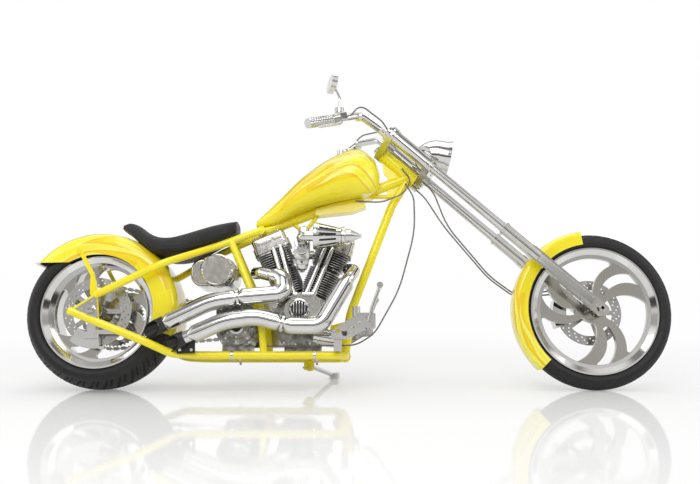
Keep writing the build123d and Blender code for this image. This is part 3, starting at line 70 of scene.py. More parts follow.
class Slot(Enum):
    """The record's material slots."""

    TYRE = "tyre"
    RIM = "chrome_rim"
    DISC = "disc_steel"
    CHROME = "chrome"
    YELLOW = "yellow_paint"
    LEATHER = "leather"
    ALLOY = "alloy"
    CHAIN = "chain_steel"
    MIRROR = "mirror"
    GLASS = "clear_glass"
    BLACK = "black_paint"
    CABLE = "cable"


# ---------------------------------------------------------------- where the motorcycle stands
def turned(degrees: float) -> Pair:
    """The cosine and sine of an angle."""
    return math.cos(math.radians(degrees)), math.sin(math.radians(degrees))


class Stance:
    """The parked motorcycle's place, read from the frame's wheel joints."""

    def __init__(self) -> None:
        """Finds the rear axle, the lean and the steering axis."""
        joints = {joint["name"]: joint for joint in frame["joints"]}
        rear, front = (np.array(joints[f"{end}_wheel_spin"]["pos_m"]) / MM for end in ("rear", "front"))
        left = np.array(joints["rear_wheel_spin"]["axis"])
        self.rear = rear
        self.turn = np.stack((AHEAD, left, np.cross(AHEAD, left)))
        steer = self.turn @ np.array(joints["steering"]["axis"])
        self.rake = math.degrees(math.atan2(-steer[0], steer[2]))
        offset = self.turn @ (front - rear)
        self.rear_z = 330.0
        self.wheelbase = float(offset[0])
        self.front_z = float(self.rear_z + offset[2])

    def place(self, points: Grid) -> Grid:
        """Turns upright millimetres into metres where the motorcycle stands.

        Args:
            points: an array whose last axis is X, Y, Z.

        Returns:
            The array in the row frame, in metres.
        """
        local = np.asarray(points, float) - (0.0, 0.0, self.rear_z)
        return (self.rear + local @ self.turn) * MM

    def fork(self, ahead: float, left: float, up: float) -> Grid:
        """A point of the fork's own frame, upright: ahead of the legs, left, and up them from the axle."""
        c, s = turned(self.rake)
        return np.array((self.wheelbase + ahead * c - up * s, left, self.front_z + ahead * s + up * c))


STANCE = Stance()


# ---------------------------------------------------------------- shader expressions
def maths(operation: str, swap: bool = False) -> "Callable[..., Wire]":
    """Makes a method of Wire that adds one Math node.

    Args:
        operation: the node's operation.
        swap: True where the wire is the second of two values.

    Returns:
        The method, which takes the other values and gives the node's result.
    """

    def method(wire: "Wire", *others: "Wire | float") -> "Wire":
        """Adds the node."""
        values = (*others, wire) if swap else (wire, *others)
        return wire.bench.node("Math", dict(enumerate(values)), operation=operation)

    return method


class Wire:
    """A shader socket that takes part in Python arithmetic by adding Math nodes."""

    __add__ = __radd__ = maths("ADD")
    __sub__, __rsub__ = maths("SUBTRACT"), maths("SUBTRACT", swap=True)
    __mul__ = __rmul__ = maths("MULTIPLY")
    __pow__ = maths("POWER")
    __abs__ = maths("ABSOLUTE")
    sine = maths("SINE")
    most = maths("MAXIMUM")
    least = maths("MINIMUM")

    def __init__(self, bench: "Bench", socket: bpy.types.NodeSocket) -> None:
        """Keeps the socket and the bench that adds nodes."""
        self.bench = bench
        self.socket = socket

    def also(self, output: str) -> "Wire":
        """Another output of the same node."""
        return Wire(self.bench, self.socket.node.outputs[output])

    def ramp(self, start: float, end: float) -> "Wire":
        """0 before start, 1 after end, and smooth between them."""
        sockets = {"Value": self, "From Min": start, "From Max": end}
        return self.bench.node("MapRange", sockets, interpolation_type="SMOOTHSTEP")


def length(a: Wire, b: Wire) -> Wire:
    """The distance whose two parts, square to each other, are given."""
    return (a * a + b * b) ** 0.5


class Bench:
    """The node tree of a material or a world, empty but for its output."""

    def __init__(self, owner: "bpy.types.Material | bpy.types.World") -> None:
        """Empties the tree.

        Args:
            owner: whose tree it is.
        """
        owner.use_nodes = True
        self.tree = owner.node_tree
        self.tree.nodes.clear()
        self.output = self.tree.nodes.new("ShaderNodeOutput" + type(owner).__name__)

    def join(self, wire: Wire, socket: bpy.types.NodeSocket) -> None:
        """Leads a wire to a socket."""
        self.tree.links.new(wire.socket, socket)

    def node(self, kind: str, sockets: dict | None = None, output: "int | str" = 0,
             **settings: object) -> Wire:
        """Adds a node.

        Args:
            kind: the node's type, less its first word.
            sockets: a value or a Wire for each input, by name or number.
            output: the output that is wanted.
            settings: the node's properties, which are set before its sockets.

        Returns:
            That output.
        """
        node = self.tree.nodes.new("ShaderNode" + kind)
        for key, value in settings.items():
            setattr(node, key, value)
        for key, value in (sockets or {}).items():
            if isinstance(value, Wire):
                self.join(value, node.inputs[key])
            else:
                node.inputs[key].default_value = value
        return Wire(self, node.outputs[output])

    def place(self) -> Wire:
        """The point on the object, in the row frame."""
        return self.node("TexCoord", output="Object")

    def upright(self) -> tuple[Wire, ...]:
        """The point's X, Y and Z on the upright motorcycle, in metres."""
        origin = tuple(STANCE.place(np.zeros(3)))
        moved = self.node("VectorMath", {0: self.place(), 1: origin}, operation="SUBTRACT")
        return tuple(self.node("VectorMath", {0: moved, 1: tuple(axis)}, "Value", operation="DOT_PRODUCT")
                     for axis in STANCE.turn)

    def noise(self, scale: float, detail: float) -> Wire:
        """Noise with that many waves to a metre, about 0.5."""
        return self.node("TexNoise", {"Vector": self.place(), "Scale": scale, "Detail": detail}, "Fac")

    def blend(self, mask: Wire, low: "Colour | Wire", high: "Colour | Wire") -> Wire:
        """A colour from low to high, by the mask."""
        low, high = (value if isinstance(value, Wire) else (*value, 1.0) for value in (low, high))
        return self.node("Mix", {0: mask, 6: low, 7: high}, 2, data_type="RGBA")


class Surface(Bench):
    """A material that ends in a Principled shader."""

    def __init__(self, name: str) -> None:
        """Starts the material.

        Args:
            name: the finish's plain name.
        """
        self.material = bpy.data.materials.new(name)
        super().__init__(self.material)
        self.shader = self.tree.nodes.new("ShaderNodeBsdfPrincipled")
        self.join(Wire(self, self.shader.outputs[0]), self.output.inputs[0])

    def set(self, **inputs: "Wire | float | Colour") -> None:
        """Sets the shader's sockets, named with underscores for spaces."""
        for key, value in inputs.items():
            socket = self.shader.inputs[key.replace("_", " ")]
            if isinstance(value, Wire):
                self.join(value, socket)
            else:
                socket.default_value = (*value, 1.0) if isinstance(value, tuple) else value

    def raise_by(self, height: Wire, depth: float) -> None:
        """Gives the surface a relief of that depth, in millimetres."""
        self.set(Normal=self.node("Bump", {"Height": height, "Distance": depth * MM, "Strength": 1.0}))


# ---------------------------------------------------------------- finishes
# near-black painted shade, between the cylinders' fins and on the fenders' inner faces
PAINTED_SHADE_BLACK: Colour = (0.012, 0.012, 0.012)
FINE = 2.0  # the detail of a fine relief's noise


@dataclass(frozen=True)
class Finish:
    """What a piece is made of, or coated with."""

    name: str

    def build(self) -> bpy.types.Material:
        """Makes the material."""
        surface = Surface(self.name)
        self.coat(surface)
        return surface.material

    def coat(self, surface: Surface) -> None:
        """Sets the material's shader.

        Args:
            surface: the material.
        """
        raise NotImplementedError


@dataclass(frozen=True)
class Grained(Finish):
    """A finish whose colour and roughness follow one cloud of noise, with a fine relief of its own.

    The colour goes from low to high over the cloud's span, and the roughness is rough + uneven * cloud.
    """

    low: Colour
    high: Colour
    scale: float  # waves of the cloud to a metre
    detail: float
    span: Pair
    rough: float
    uneven: float
    relief: Pair | None = None  # waves to a metre, depth
    metal: float = 1.0

    def cloudy(self, surface: Surface) -> tuple[Wire, Wire]:
        """The cloud and the colour that follows it."""
        cloud = surface.noise(self.scale, self.detail)
        return cloud, surface.blend(cloud.ramp(*self.span), self.low, self.high)

    def grain(self, surface: Surface) -> None:
        """Adds the fine relief."""
        if self.relief is not None:
            waves, depth = self.relief
            surface.raise_by(surface.noise(waves, FINE), depth)

    def coat(self, surface: Surface) -> None:
        """Sets colour, roughness and relief."""
        cloud, colour = self.cloudy(surface)
        surface.set(Base_Color=colour, Metallic=self.metal, Roughness=cloud * self.uneven + self.rough)
        self.grain(surface)


# low, high, scale, detail, span, rough, uneven, relief
PLATE = ((0.66, 0.655, 0.64), (0.6204, 0.6157, 0.6016), 26.0, 5.0, (0.35, 0.75), 0.07, 0.05, (55.0, 0.10))
CAST = ((0.22, 0.215, 0.205), (0.54, 0.53, 0.50), 38.0, 6.0, (0.35, 0.68), 0.24, 0.16, (900.0, 0.12))
BUFFED = ((0.57, 0.555, 0.52), (0.62, 0.605, 0.565), 38.0, 6.0, (0.35, 0.68), 0.06, 0.16, (900.0, 0.03))
GROUND = ((0.53, 0.52, 0.505), (0.60, 0.59, 0.57), 700.0, 2.0, (0.3, 0.7), 0.22, 0.08)
ENAMEL = ((0.012, 0.012, 0.013), (0.03, 0.03, 0.031), 120.0, 4.0, (0.5, 0.9), 0.32, 0.15)
RUBBER = ((0.005, 0.005, 0.0055), (0.016, 0.0155, 0.015), 60.0, 5.0, (0.4, 0.8), 0.46, 0.2, (1400.0, 0.15))
CRANK: Pair = (877.0, 288.0)
TILT = 22.5


@dataclass(frozen=True)
class FinnedAlloy(Grained):
    """Painted shade on the fins: their faces and the barrel between them are black, standing in for the shade
    between the fins, and only their outer edges show the cast metal.

    The edge is where the distance outside a rounded rectangle square to the cylinder's axis, which is
    sqrt(max(|across| - a, 0)^2 + max(|Y| - b, 0)^2) - corner, comes above -5 mm.
    """

    tilt: float = TILT
    straight: Pair = (24.0, 18.0)
    corner: float = 46.0
    edge: Pair = (-6.0, -4.6)

    def coat(self, surface: Surface) -> None:
        """Sets painted shade, in black, between the edges and the cast metal on them."""
        x, y, z = surface.upright()
        c, s = turned(self.tilt)
        across = abs((x - CRANK[0] * MM) * c - (z - CRANK[1] * MM) * s)
        wide, deep = self.straight
        beyond = length((across - wide * MM).most(0.0), (abs(y) - deep * MM).most(0.0))
        # painted shade: black everywhere but the fins' outer edges, for the shade between the fins
        outside_painted_shade = (beyond - self.corner * MM).ramp(self.edge[0] * MM, self.edge[1] * MM)
        cloud, cast = self.cloudy(surface)
        surface.set(Base_Color=surface.blend(outside_painted_shade, PAINTED_SHADE_BLACK, cast), Metallic=outside_painted_shade * 0.9 + 0.1,
                    Roughness=cloud * self.uneven + self.rough)
        self.grain(surface)


@dataclass(frozen=True)
class WheelMetal(Grained):
    """A chromed rim with darker, ground spokes: the change is by the distance from the wheel's axis."""

    x: float = 0.0
    z: float = STANCE.rear_z
    spoke_r: float = 200.0
    ground: Colour = (0.50, 0.485, 0.44)
    matt: float = 0.10

    def coat(self, surface: Surface) -> None:
        """Sets chrome beyond spoke_r and ground metal within it."""
        x, _, z = surface.upright()
        reach = length(x - self.x * MM, z - self.z * MM)
        rim = reach.ramp((self.spoke_r - 3.0) * MM, (self.spoke_r + 1.0) * MM)
        smears = surface.noise(self.scale, self.detail)
        surface.set(Base_Color=surface.blend(rim, self.ground, self.low), Metallic=self.metal,
                    Roughness=smears * self.uneven + (1.0 - rim) * self.matt + self.rough)
        self.grain(surface)


@dataclass(frozen=True)
class Lacquer(Finish):
    """Yellow lacquer: a flat colour under clear coat, with faint orange peel."""

    colour: Colour = (0.985, 0.865, 0.020)
    shade: Colour = (0.955, 0.770, 0.012)
    peel: float = 0.035

    def base(self, surface: Surface) -> Wire:
        """The colour under the clear coat."""
        return surface.blend(surface.noise(7.0, FINE).ramp(0.3, 0.8), self.colour, self.shade)

    def coat(self, surface: Surface) -> None:
        """Sets colour, clear coat and peel."""
        surface.set(Base_Color=self.base(surface), Roughness=0.28, Specular_IOR_Level=0.1, Coat_Weight=1.0,
                    Coat_Roughness=0.03)
        surface.raise_by(surface.noise(420.0, FINE), self.peel)


@dataclass(frozen=True)
class GhostFlames(Lacquer):
    """Yellow lacquer with pale flame tongues and amber edges, laid along the piece's own map, and painted shade in
    black on a fender's inner face.

    A tongue's middle is v = v0 + (v1 - v0) t + swing * sin(turns * t + phase), where t runs from its root to
    its tip, and its half width is w * (1 - t) ** 1.3.
    """

    root: float = 0.60
    back: float = -1.0
    # length, v at the root, v at the tip, half width at the root, swing, turns, phase
    tongues: tuple[tuple[float, ...], ...] = ()
    pale: Colour = (0.990, 0.905, 0.030)
    rim: Colour = (0.992, 0.950, 0.170)
    amber: Colour = (0.900, 0.500, 0.006)
    glow: float = 0.62  # how amber the lacquer is at a tongue's edge
    halo: float = 0.024  # metres over which the amber fades
    band: float = 0.016  # metres over which the rim's colour fades inwards
    line: float = 0.0014  # metres over which the edge itself turns
    # the wheel's axle X and Z, then the inner radius, half width, crown and corner of a fender's inside, which is
    # painted black as painted shade
    lining: tuple[float, ...] | None = None

    def inside(self, surface: Surface) -> Wire:
        """How far within the nearest tongue the point lies, in metres, and below 0 outside all of them."""
        uv = surface.node("SeparateXYZ", {0: surface.node("UVMap", uv_map="length")})
        u, v = uv, abs(uv.also("Y"))
        gaps = []
        for run, v0, v1, half, swing, turns, phase in self.tongues:
            t = (u - self.root) * (self.back / run)
            inner = t.most(0.0).least(1.0)
            middle = inner * (v1 - v0) + v0 + (inner * turns + phase).sine() * swing
            width = (1.0 - inner) ** 1.3 * half
            gaps.append(width - abs(v - middle) - (t - 1.0).most(0.0) - (-1.0 * t - 0.35).most(0.0))
        inside, *others = gaps
        for gap in others:
            inside = inside.most(gap)
        return inside

    def under(self, surface: Surface) -> Wire:
        """1 on the inner face of the fender, which lies 1.5 to 2.2 mm or more within its rounded section: where
        the painted shade goes.
        """
        axle_x, axle_z, inner, half, crown, corner = self.lining
        x, y, z = surface.upright()
        reach = length(x - axle_x * MM, z - axle_z * MM) + y * y * (crown / (half * half * MM))
        aside = (abs(y) - (half - corner) * MM).most(0.0)
        over = (reach - (inner + crown - corner) * MM).most(0.0)
        return (length(aside, over) * -1.0 + corner * MM).ramp(-2.2 * MM, -1.5 * MM)

    def base(self, surface: Surface) -> Wire:
        """The lacquer, ambered near the tongues, pale in them, and black as painted shade inside a fender."""
        inside = self.inside(surface)
        near = 1.0 - (inside * -1.0).ramp(0.0, self.halo)
        shaded = surface.blend(near * self.glow, super().base(surface), self.amber)
        tongue = surface.blend(inside.ramp(0.0, self.band), self.rim, self.pale)
        colour = surface.blend(inside.ramp(0.0, self.line), shaded, tongue)
        # painted shade: the fender's inner face is black
        return surface.blend(self.under(surface), colour, PAINTED_SHADE_BLACK) if self.lining else colour


@dataclass(frozen=True)
class Braid(Finish):
    """Braided steel over a hose: fine crossed strands."""

    bright: Colour = (0.42, 0.42, 0.41)
    dark: Colour = (0.07, 0.07, 0.07)
    strands: float = 1500.0

    def coat(self, surface: Surface) -> None:
        """Sets the weave, as the product of two slanted waves."""
        x, y, z = surface.upright()
        weave = ((x + z) * self.strands).sine() * ((x - z + y) * self.strands).sine()
        surface.set(Base_Color=surface.blend(weave.ramp(-0.5, 0.6), self.dark, self.bright), Metallic=1.0,
                    Roughness=0.34)
        surface.raise_by(weave, 0.3)


@dataclass(frozen=True)
class Leather(Finish):
    """Black seat leather: cells of grain with worn, paler tops."""

    colour: Colour = (0.005, 0.005, 0.0055)
    worn: Colour = (0.018, 0.0175, 0.0175)
    cell: float = 420.0

    def coat(self, surface: Surface) -> None:
        """Sets the cells and their worn tops."""
        cells = surface.node("TexVoronoi", {"Vector": surface.place(), "Scale": self.cell},
                             feature="DISTANCE_TO_EDGE")
        edge = cells.ramp(0.0, 0.16)
        wear = surface.noise(9.0, 3.0).ramp(0.45, 0.8)
        surface.set(Base_Color=surface.blend(edge * wear, self.colour, self.worn),
                    Roughness=0.52 - edge * 0.12)
        surface.raise_by(edge, 0.35)


@dataclass(frozen=True)
class ClearGlass(Finish):
    """Lamp glass."""

    def coat(self, surface: Surface) -> None:
        """Sets clear glass with a faint ripple."""
        surface.set(Base_Color=(0.96, 0.97, 0.98), Transmission_Weight=1.0, IOR=1.45,
                    Roughness=surface.noise(40.0, FINE) * 0.04)


class Paints:
    """Every finish of the motorcycle, made once."""

    def __init__(self) -> None:
        """Makes the shared materials."""
        self.chrome = Grained("chrome", *PLATE).build()
        self.polished = Grained("polished_alloy", *BUFFED).build()
        self.steel = Grained("brushed_steel", *GROUND).build()
        self.yellow = Lacquer("yellow_lacquer").build()
        self.black = Grained("black_enamel", *ENAMEL, metal=0.0).build()
        self.rubber = Grained("tyre_rubber", *RUBBER, metal=0.0).build()
        self.leather = Leather("seat_leather").build()

    def dress_frame(self) -> None:
        """Gives every node that is carried over its finish: its own, or that of its material slot."""
        by_slot = {
            Slot.TYRE: self.rubber, Slot.RIM: self.chrome, Slot.DISC: self.steel, Slot.CHROME: self.chrome,
            Slot.YELLOW: self.yellow, Slot.LEATHER: self.leather, Slot.CHAIN: self.steel,
            Slot.MIRROR: self.chrome, Slot.BLACK: self.black,
            Slot.ALLOY: Grained("cast_alloy", *CAST).build(),
            Slot.GLASS: ClearGlass("lamp_glass").build(),
            Slot.CABLE: Braid("braided_steel").build(),
        }
        bright = ("rocker_boxes", "cam_cover", "oil_tank", "primary_cover", "fork_lowers", "triple_trees")
        by_node = dict.fromkeys(bright, self.polished)
        by_node |= {
            # the cylinders take painted shade between their fins
            "rear_cylinder": FinnedAlloy("rear_fins_painted_shade", *CAST, tilt=-TILT).build(),
            "front_cylinder": FinnedAlloy("front_fins_painted_shade", *CAST).build(),
            "rear_rim": WheelMetal("rear_wheel_metal", *PLATE).build(),
            "front_rim": WheelMetal("front_wheel_metal", *PLATE, x=STANCE.wheelbase, z=STANCE.front_z,
                                    spoke_r=238.0).build(),
        }
        for part in frame["record"]["subparts"]:
            finish = by_node.get(part["node"], by_slot[Slot(part["material_slot"])])
            materials = frame["nodes"][part["node"]].data.materials
            materials.clear()
            materials.append(finish)




# ---------------------------------------------------------------- surfaces
def circle(steps: int) -> Grid:
    """Cosine and sine of even steps round a circle."""
    angle = np.linspace(0, 2 * np.pi, steps, endpoint=False)
    return np.stack((np.cos(angle), np.sin(angle)), -1)


def unit(rows: Grid) -> Grid:
    """Each row over its own length."""
    return rows / np.linalg.norm(rows, axis=-1, keepdims=True)


def outward(along: Grid) -> Grid:
    """The way to the right that is square to each direction."""
    return unit(RIGHT + along * along[..., 1:2])


class Shell:
    """Closed surfaces that grow into one piece, each a grid of upright points."""

    # distance along the axis and radius of a socket bolt's head, as parts of its radius
    HEAD = np.array(((-0.3, 0.02), (-0.3, 1.0), (0.45, 1.0), (0.72, 0.80), (0.72, 0.50), (0.30, 0.46),
                     (0.30, 0.02)))

    def __init__(self) -> None:
        """Starts with nothing."""
        self.points: list[Grid] = []
        self.quads: list[Grid] = []
        self.triangles: list[Grid] = []
        self.count = 0

    def skin(self, grid: Grid, ends: bool = True, channel: bool = False) -> "Shell":
        """Adds a grid whose columns go round and whose rows go along, closed by a fan at each end.

        The signed volume (the sum over faces of a corner dotted with the cross product of the others) says
        which way the faces look, and they are turned round where it is negative.

        Args:
            grid: points, as rows by columns by X, Y, Z.
            ends: False where the last row runs on into the first, as in a ring.
            channel: True where the columns go out along one face of a bent sheet and back along the other;
                each end is then closed across the sheet's thickness.

        Returns:
            This shell.
        """
        rows, columns = grid.shape[:2]
        points = grid.reshape(-1, 3)
        index = np.arange(rows * columns).reshape(rows, columns)
        below, above = (index[:-1], index[1:]) if ends else (index, np.roll(index, -1, axis=0))
        quads = np.stack((below, np.roll(below, -1, 1), np.roll(above, -1, 1), above), -1).reshape(-1, 4)
        triangles = np.zeros((0, 3), int)
        first, last = index[0], index[-1]
        if channel:
            near = np.arange(columns // 2 - 1)
            strip = np.stack((near + 1, near, columns - 1 - near, columns - 2 - near), -1)
            quads = np.concatenate((quads, first[strip], last[strip[:, ::-1]]))
        elif ends:
            points = np.concatenate((points, grid[:1].mean(1), grid[-1:].mean(1)))
            low, high = (np.full(columns, rows * columns + cap) for cap in (0, 1))
            triangles = np.concatenate((np.stack((np.roll(first, -1), first, low), -1),
                                        np.stack((last, np.roll(last, -1), high), -1)))
        split = np.concatenate((quads[:, (0, 1, 2)], quads[:, (0, 2, 3)], triangles))
        a, b, c = (points[split[:, corner]] for corner in range(3))
        if np.einsum("ij,ij->", a, np.cross(b, c)) < 0:
            quads, triangles = quads[:, ::-1], triangles[:, ::-1]
        self.points.append(points)
        self.quads.append(quads + self.count)
        self.triangles.append(triangles + self.count)
        self.count += len(points)
        return self

    def lathe(self, profile: Grid, start: Grid, axis: Grid, steps: int = 48) -> "Shell":
        """Adds a profile turned round an axis.

        Each point lies at start + along * axis + radius * (cos a * u + sin a * v), where u and v are square
        to the axis. A profile that starts more than 1 mm off the axis closes on itself, as a ring.

        Args:
            profile: rows of distance along the axis and radius.
            start: a point on the axis.
            axis: its direction.
            steps: columns round the axis.

        Returns:
            This shell.
        """
        profile = np.asarray(profile, float)
        axis = unit(np.asarray(axis, float))
        u = unit(np.cross(axis, UP if abs(axis[2]) < 0.9 else AHEAD))
        spokes = circle(steps) @ np.stack((u, np.cross(axis, u)))
        grid = np.asarray(start, float) + profile[:, None, :1] * axis + profile[:, None, 1:] * spokes
        return self.skin(grid, ends=profile[0, 1] < 1.0)

    def pipe(self, path: Grid, radius: float, steps: int) -> "Shell":
        """Adds a round bar along a path.

        Each point's frame is the last one, turned by the least that keeps it square to the path.

        Args:
            path: the points of the middle line.
            radius: the bar's radius.
            steps: columns round it.

        Returns:
            This shell.
        """
        along = unit(np.gradient(path, axis=0))
        side = np.cross(UP, along[0])
        sides = []
        for tangent in along:
            side = unit(side - tangent * (side @ tangent))
            sides.append(side)
        sides, ups = np.array(sides)[:, None], np.cross(along, sides)[:, None]
        ring = circle(steps) * radius
        return self.skin(path[:, None] + ring[:, :1] * sides + ring[:, 1:] * ups)

    def block(self, centre: Point, half: Point, soft: float, turn: "Grid | None" = None) -> "Shell":
        """Adds a block with rounded edges: a superellipse section that shrinks at its two ends.

        Args:
            centre: its middle.
            half: its half sizes, the last along the axis of its section.
            soft: how round it is, from 0 to 1.
            turn: its own axes, as rows.

        Returns:
            This shell.
        """
        c, s = np.cos(np.pi / 24), np.sin(np.pi / 24)
        ring = circle(24) @ ((c, s), (-s, c))
        section = np.sign(ring) * np.abs(ring) ** (soft / (soft + 1.0)) * half[:2]
        lip = soft * min(half)
        ends = ((half[2] - lip, 1.0), (half[2] - lip * 0.4, 1.0 - soft * 0.12), (half[2], 1.0 - soft * 0.5))
        rows = [(-z, scale) for z, scale in ends[::-1]] + list(ends)
        grid = np.array([np.insert(section * scale, 2, z, axis=1) for z, scale in rows])
        return self.skin(np.asarray(centre, float) + (grid if turn is None else grid @ turn))

    def plate(self, outline: Grid, low: float, thick: float, edge: float = 1.0) -> "Shell":
        """Adds a flat convex plate that faces the right side, its outline drawn in at the outer edge.

        Args:
            outline: rows of X and Z.
            low: Y of its back.
            thick: how far it stands out towards the right.
            edge: how much the outer edge is drawn in.

        Returns:
            This shell.
        """
        outline = np.asarray(outline, float)
        middle = outline.mean(0)
        shrink = 1.0 - edge / np.linalg.norm(outline - middle, axis=1, keepdims=True)
        rows = ((0.0, 1.0), (thick - edge, 1.0), (thick, shrink))
        grid = [np.insert(middle + (outline - middle) * scale, 1, low - out, axis=1) for out, scale in rows]
        return self.skin(np.array(grid))

    def bolt(self, at: Point, axis: Grid, radius: float) -> None:
        """Adds a round-headed socket bolt that stands on a surface.

        Args:
            at: the middle of the head's seat.
            axis: which way the head looks.
            radius: the head's radius.
        """
        self.lathe(self.HEAD * radius, at, axis, 14)

    def bolts(self, places: Iterable[Pair], y: float, axis: Grid, radius: float) -> None:
        """Adds bolts to a face that looks right or left.

        Args:
            places: X and Z of each.
            y: the face.
            axis: which way the heads look.
            radius: each head's radius.
        """
        for x, z in places:
            self.bolt((x, y, z), axis, radius)

    def finish(self, name: str, body: Body, material: bpy.types.Material, slot: Slot, *replaces: str,
               smooth: float = 32.0) -> bpy.types.Object:
        """Makes the piece where the motorcycle stands and lets it ride.

        Args:
            name: the piece's name.
            body: what carries it.
            material: its finish.
            slot: the record's material slot that it belongs to; not used.
            replaces: the nodes that it stands for.
            smooth: edges sharper than this stay sharp, in degrees.

        Returns:
            The piece.
        """
        mesh = bpy.data.meshes.new(name)
        points = STANCE.place(np.concatenate(self.points))
        faces = [*np.concatenate(self.quads).tolist(), *np.concatenate(self.triangles).tolist()]
        mesh.from_pydata(points.tolist(), [], faces)
        mesh.materials.append(material)
        mesh.shade_smooth()
        mesh.set_sharp_from_angle(angle=math.radians(smooth))
        piece = bpy.data.objects.new(name, mesh)
        bpy.context.scene.collection.objects.link(piece)
        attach(piece, body.value)
        if replaces:
            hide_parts(*replaces)
        LOG.info("%s: %d points", name, len(points))
        return piece


def smooth_path(points: Grid, steps: int) -> Grid:
    """A Catmull-Rom curve through the points: each span is the cubic whose end slopes are half the chord
    between the neighbours."""
    p = np.asarray(points, float)
    p = np.concatenate((2 * p[:1] - p[1:2], p, 2 * p[-1:] - p[-2:-1]))
    t = np.linspace(0, 1, steps, endpoint=False)[None, :, None]
    a, b, c, d = (p[k:len(p) - 3 + k, None] for k in range(4))
    spans = 0.5 * (2 * b + (c - a) * t + (2 * a - 5 * b + 4 * c - d) * t**2 + (3 * b - a - 3 * c + d) * t**3)
    return np.concatenate((spans.reshape(-1, spans.shape[-1]), p[-2:-1]))


def rounded_path(points: Grid, radii: tuple[float, ...], steps: int) -> Grid:
    """Straight runs joined by arcs, each of which starts and ends radius * tan(turn / 2) from its corner."""
    p = np.asarray(points, float)
    out = [p[0]]
    for before, corner, after, radius in zip(p, p[1:], p[2:], radii):
        back, on = unit(before - corner), unit(after - corner)
        half_turn = (np.pi - np.arccos(np.clip(back @ on, -1, 1))) / 2
        reach = radius * np.tan(half_turn)
        centre = corner + unit(back + on) * radius / np.cos(half_turn)
        first, last = corner + back * reach - centre, corner + on * reach - centre
        for t in np.linspace(0, 1, steps):
            arm = first * np.sin((1 - t) * 2 * half_turn) + last * np.sin(t * 2 * half_turn)
            out.append(centre + arm / np.sin(2 * half_turn))
    return np.array([*out, p[-1]])


def arc_through(a: Grid, b: Grid, c: Grid, steps: int) -> Grid:
    """Points of the circle through three points of a plane, from the first to the last through the second.

    The centre is where the perpendicular bisectors of a-b and b-c cross; the points turn about it evenly.
    """
    a, b, c = (np.asarray(p, float) for p in (a, b, c))
    centre = np.linalg.solve(2 * np.stack((b - a, c - b)), np.array((b @ b - a @ a, c @ c - b @ b)))
    start, via, end = (math.atan2(*(p - centre)[::-1]) for p in (a, b, c))
    span = (end - start) % (2 * np.pi)
    if (via - start) % (2 * np.pi) > span:
        span -= 2 * np.pi
    angle = start + span * np.linspace(0, 1, steps)
    return centre + np.hypot(*(a - centre)) * np.stack((np.cos(angle), np.sin(angle)), -1)


def mapped(piece: bpy.types.Object, grid: Grid, middle: int) -> None:
    """Gives a piece made from one grid a map in metres: u along the rows, v round from the middle column.

    u is the mean distance gone from the first row; v is the distance gone round each row, less that at the
    middle column. Every face corner keeps its own value, so the map has no fold where the columns meet.

    Args:
        piece: a piece whose first points are the grid's.
        grid: the grid, as rows by columns by X, Y, Z.
        middle: the column where v is 0.
    """
    rows, columns = grid.shape[:2]
    along = np.insert(np.cumsum(np.linalg.norm(np.diff(grid, axis=0), axis=2).mean(1)), 0, 0.0) * MM
    closed = np.concatenate((grid, grid[:, :1]), 1)
    girth = np.insert(np.cumsum(np.linalg.norm(np.diff(closed, axis=1), axis=2), 1), 0, 0.0, axis=1)
    girth = (girth - girth[:, middle:middle + 1]) * MM
    mesh = piece.data

    def read(source: bpy.types.bpy_prop_collection, key: str) -> Grid:
        """A whole number of each item."""
        values = np.zeros(len(source), int)
        source.foreach_get(key, values)
        return values

    corner = read(mesh.loops, "vertex_index")
    totals = read(mesh.polygons, "loop_total")
    face = np.repeat(np.arange(len(totals)), totals)
    ring = corner < rows * columns
    row, column = np.divmod(np.where(ring, corner, 0), columns)
    crosses = np.zeros((2, len(totals)), bool)
    for flags, edge in zip(crosses, (0, columns - 1)):
        np.logical_or.at(flags, face, ring & (column == edge))
    column = np.where((column == 0) & crosses.all(0)[face], columns, column)
    uv = np.stack((along[row], girth[row, column]), -1).astype(np.float32)
    mesh.uv_layers.new(name="length").data.foreach_set("uv", uv.ravel())


# ---------------------------------------------------------------- wheels
REAR_AXLE: Pair = (0.0, STANCE.rear_z)
FRONT_AXLE: Pair = (STANCE.wheelbase, STANCE.front_z)


def rise(distance: Grid, half: float, edge: float = 1.6) -> Grid:
    """1 within half of a line, falling smoothly to 0 over edge."""
    t = np.clip((half + edge - np.abs(distance)) / edge, 0.0, 1.0)
    return t * t * (3 - 2 * t)


def wrapped(values: Grid, pitch: float) -> Grid:
    """Distance to the nearest whole multiple of the pitch, with its sign."""
    return (values + pitch / 2) % pitch - pitch / 2


def spun(axle: Pair, angle: Grid, y: Grid, radius: Grid) -> Grid:
    """Points round an axle at angles in radians: one row for each, with Y and radius as given."""
    angle = angle[:, None]
    x, z = axle[0] + radius * np.cos(angle), axle[1] + radius * np.sin(angle)
    return np.stack(np.broadcast_arrays(x, y, z), -1)


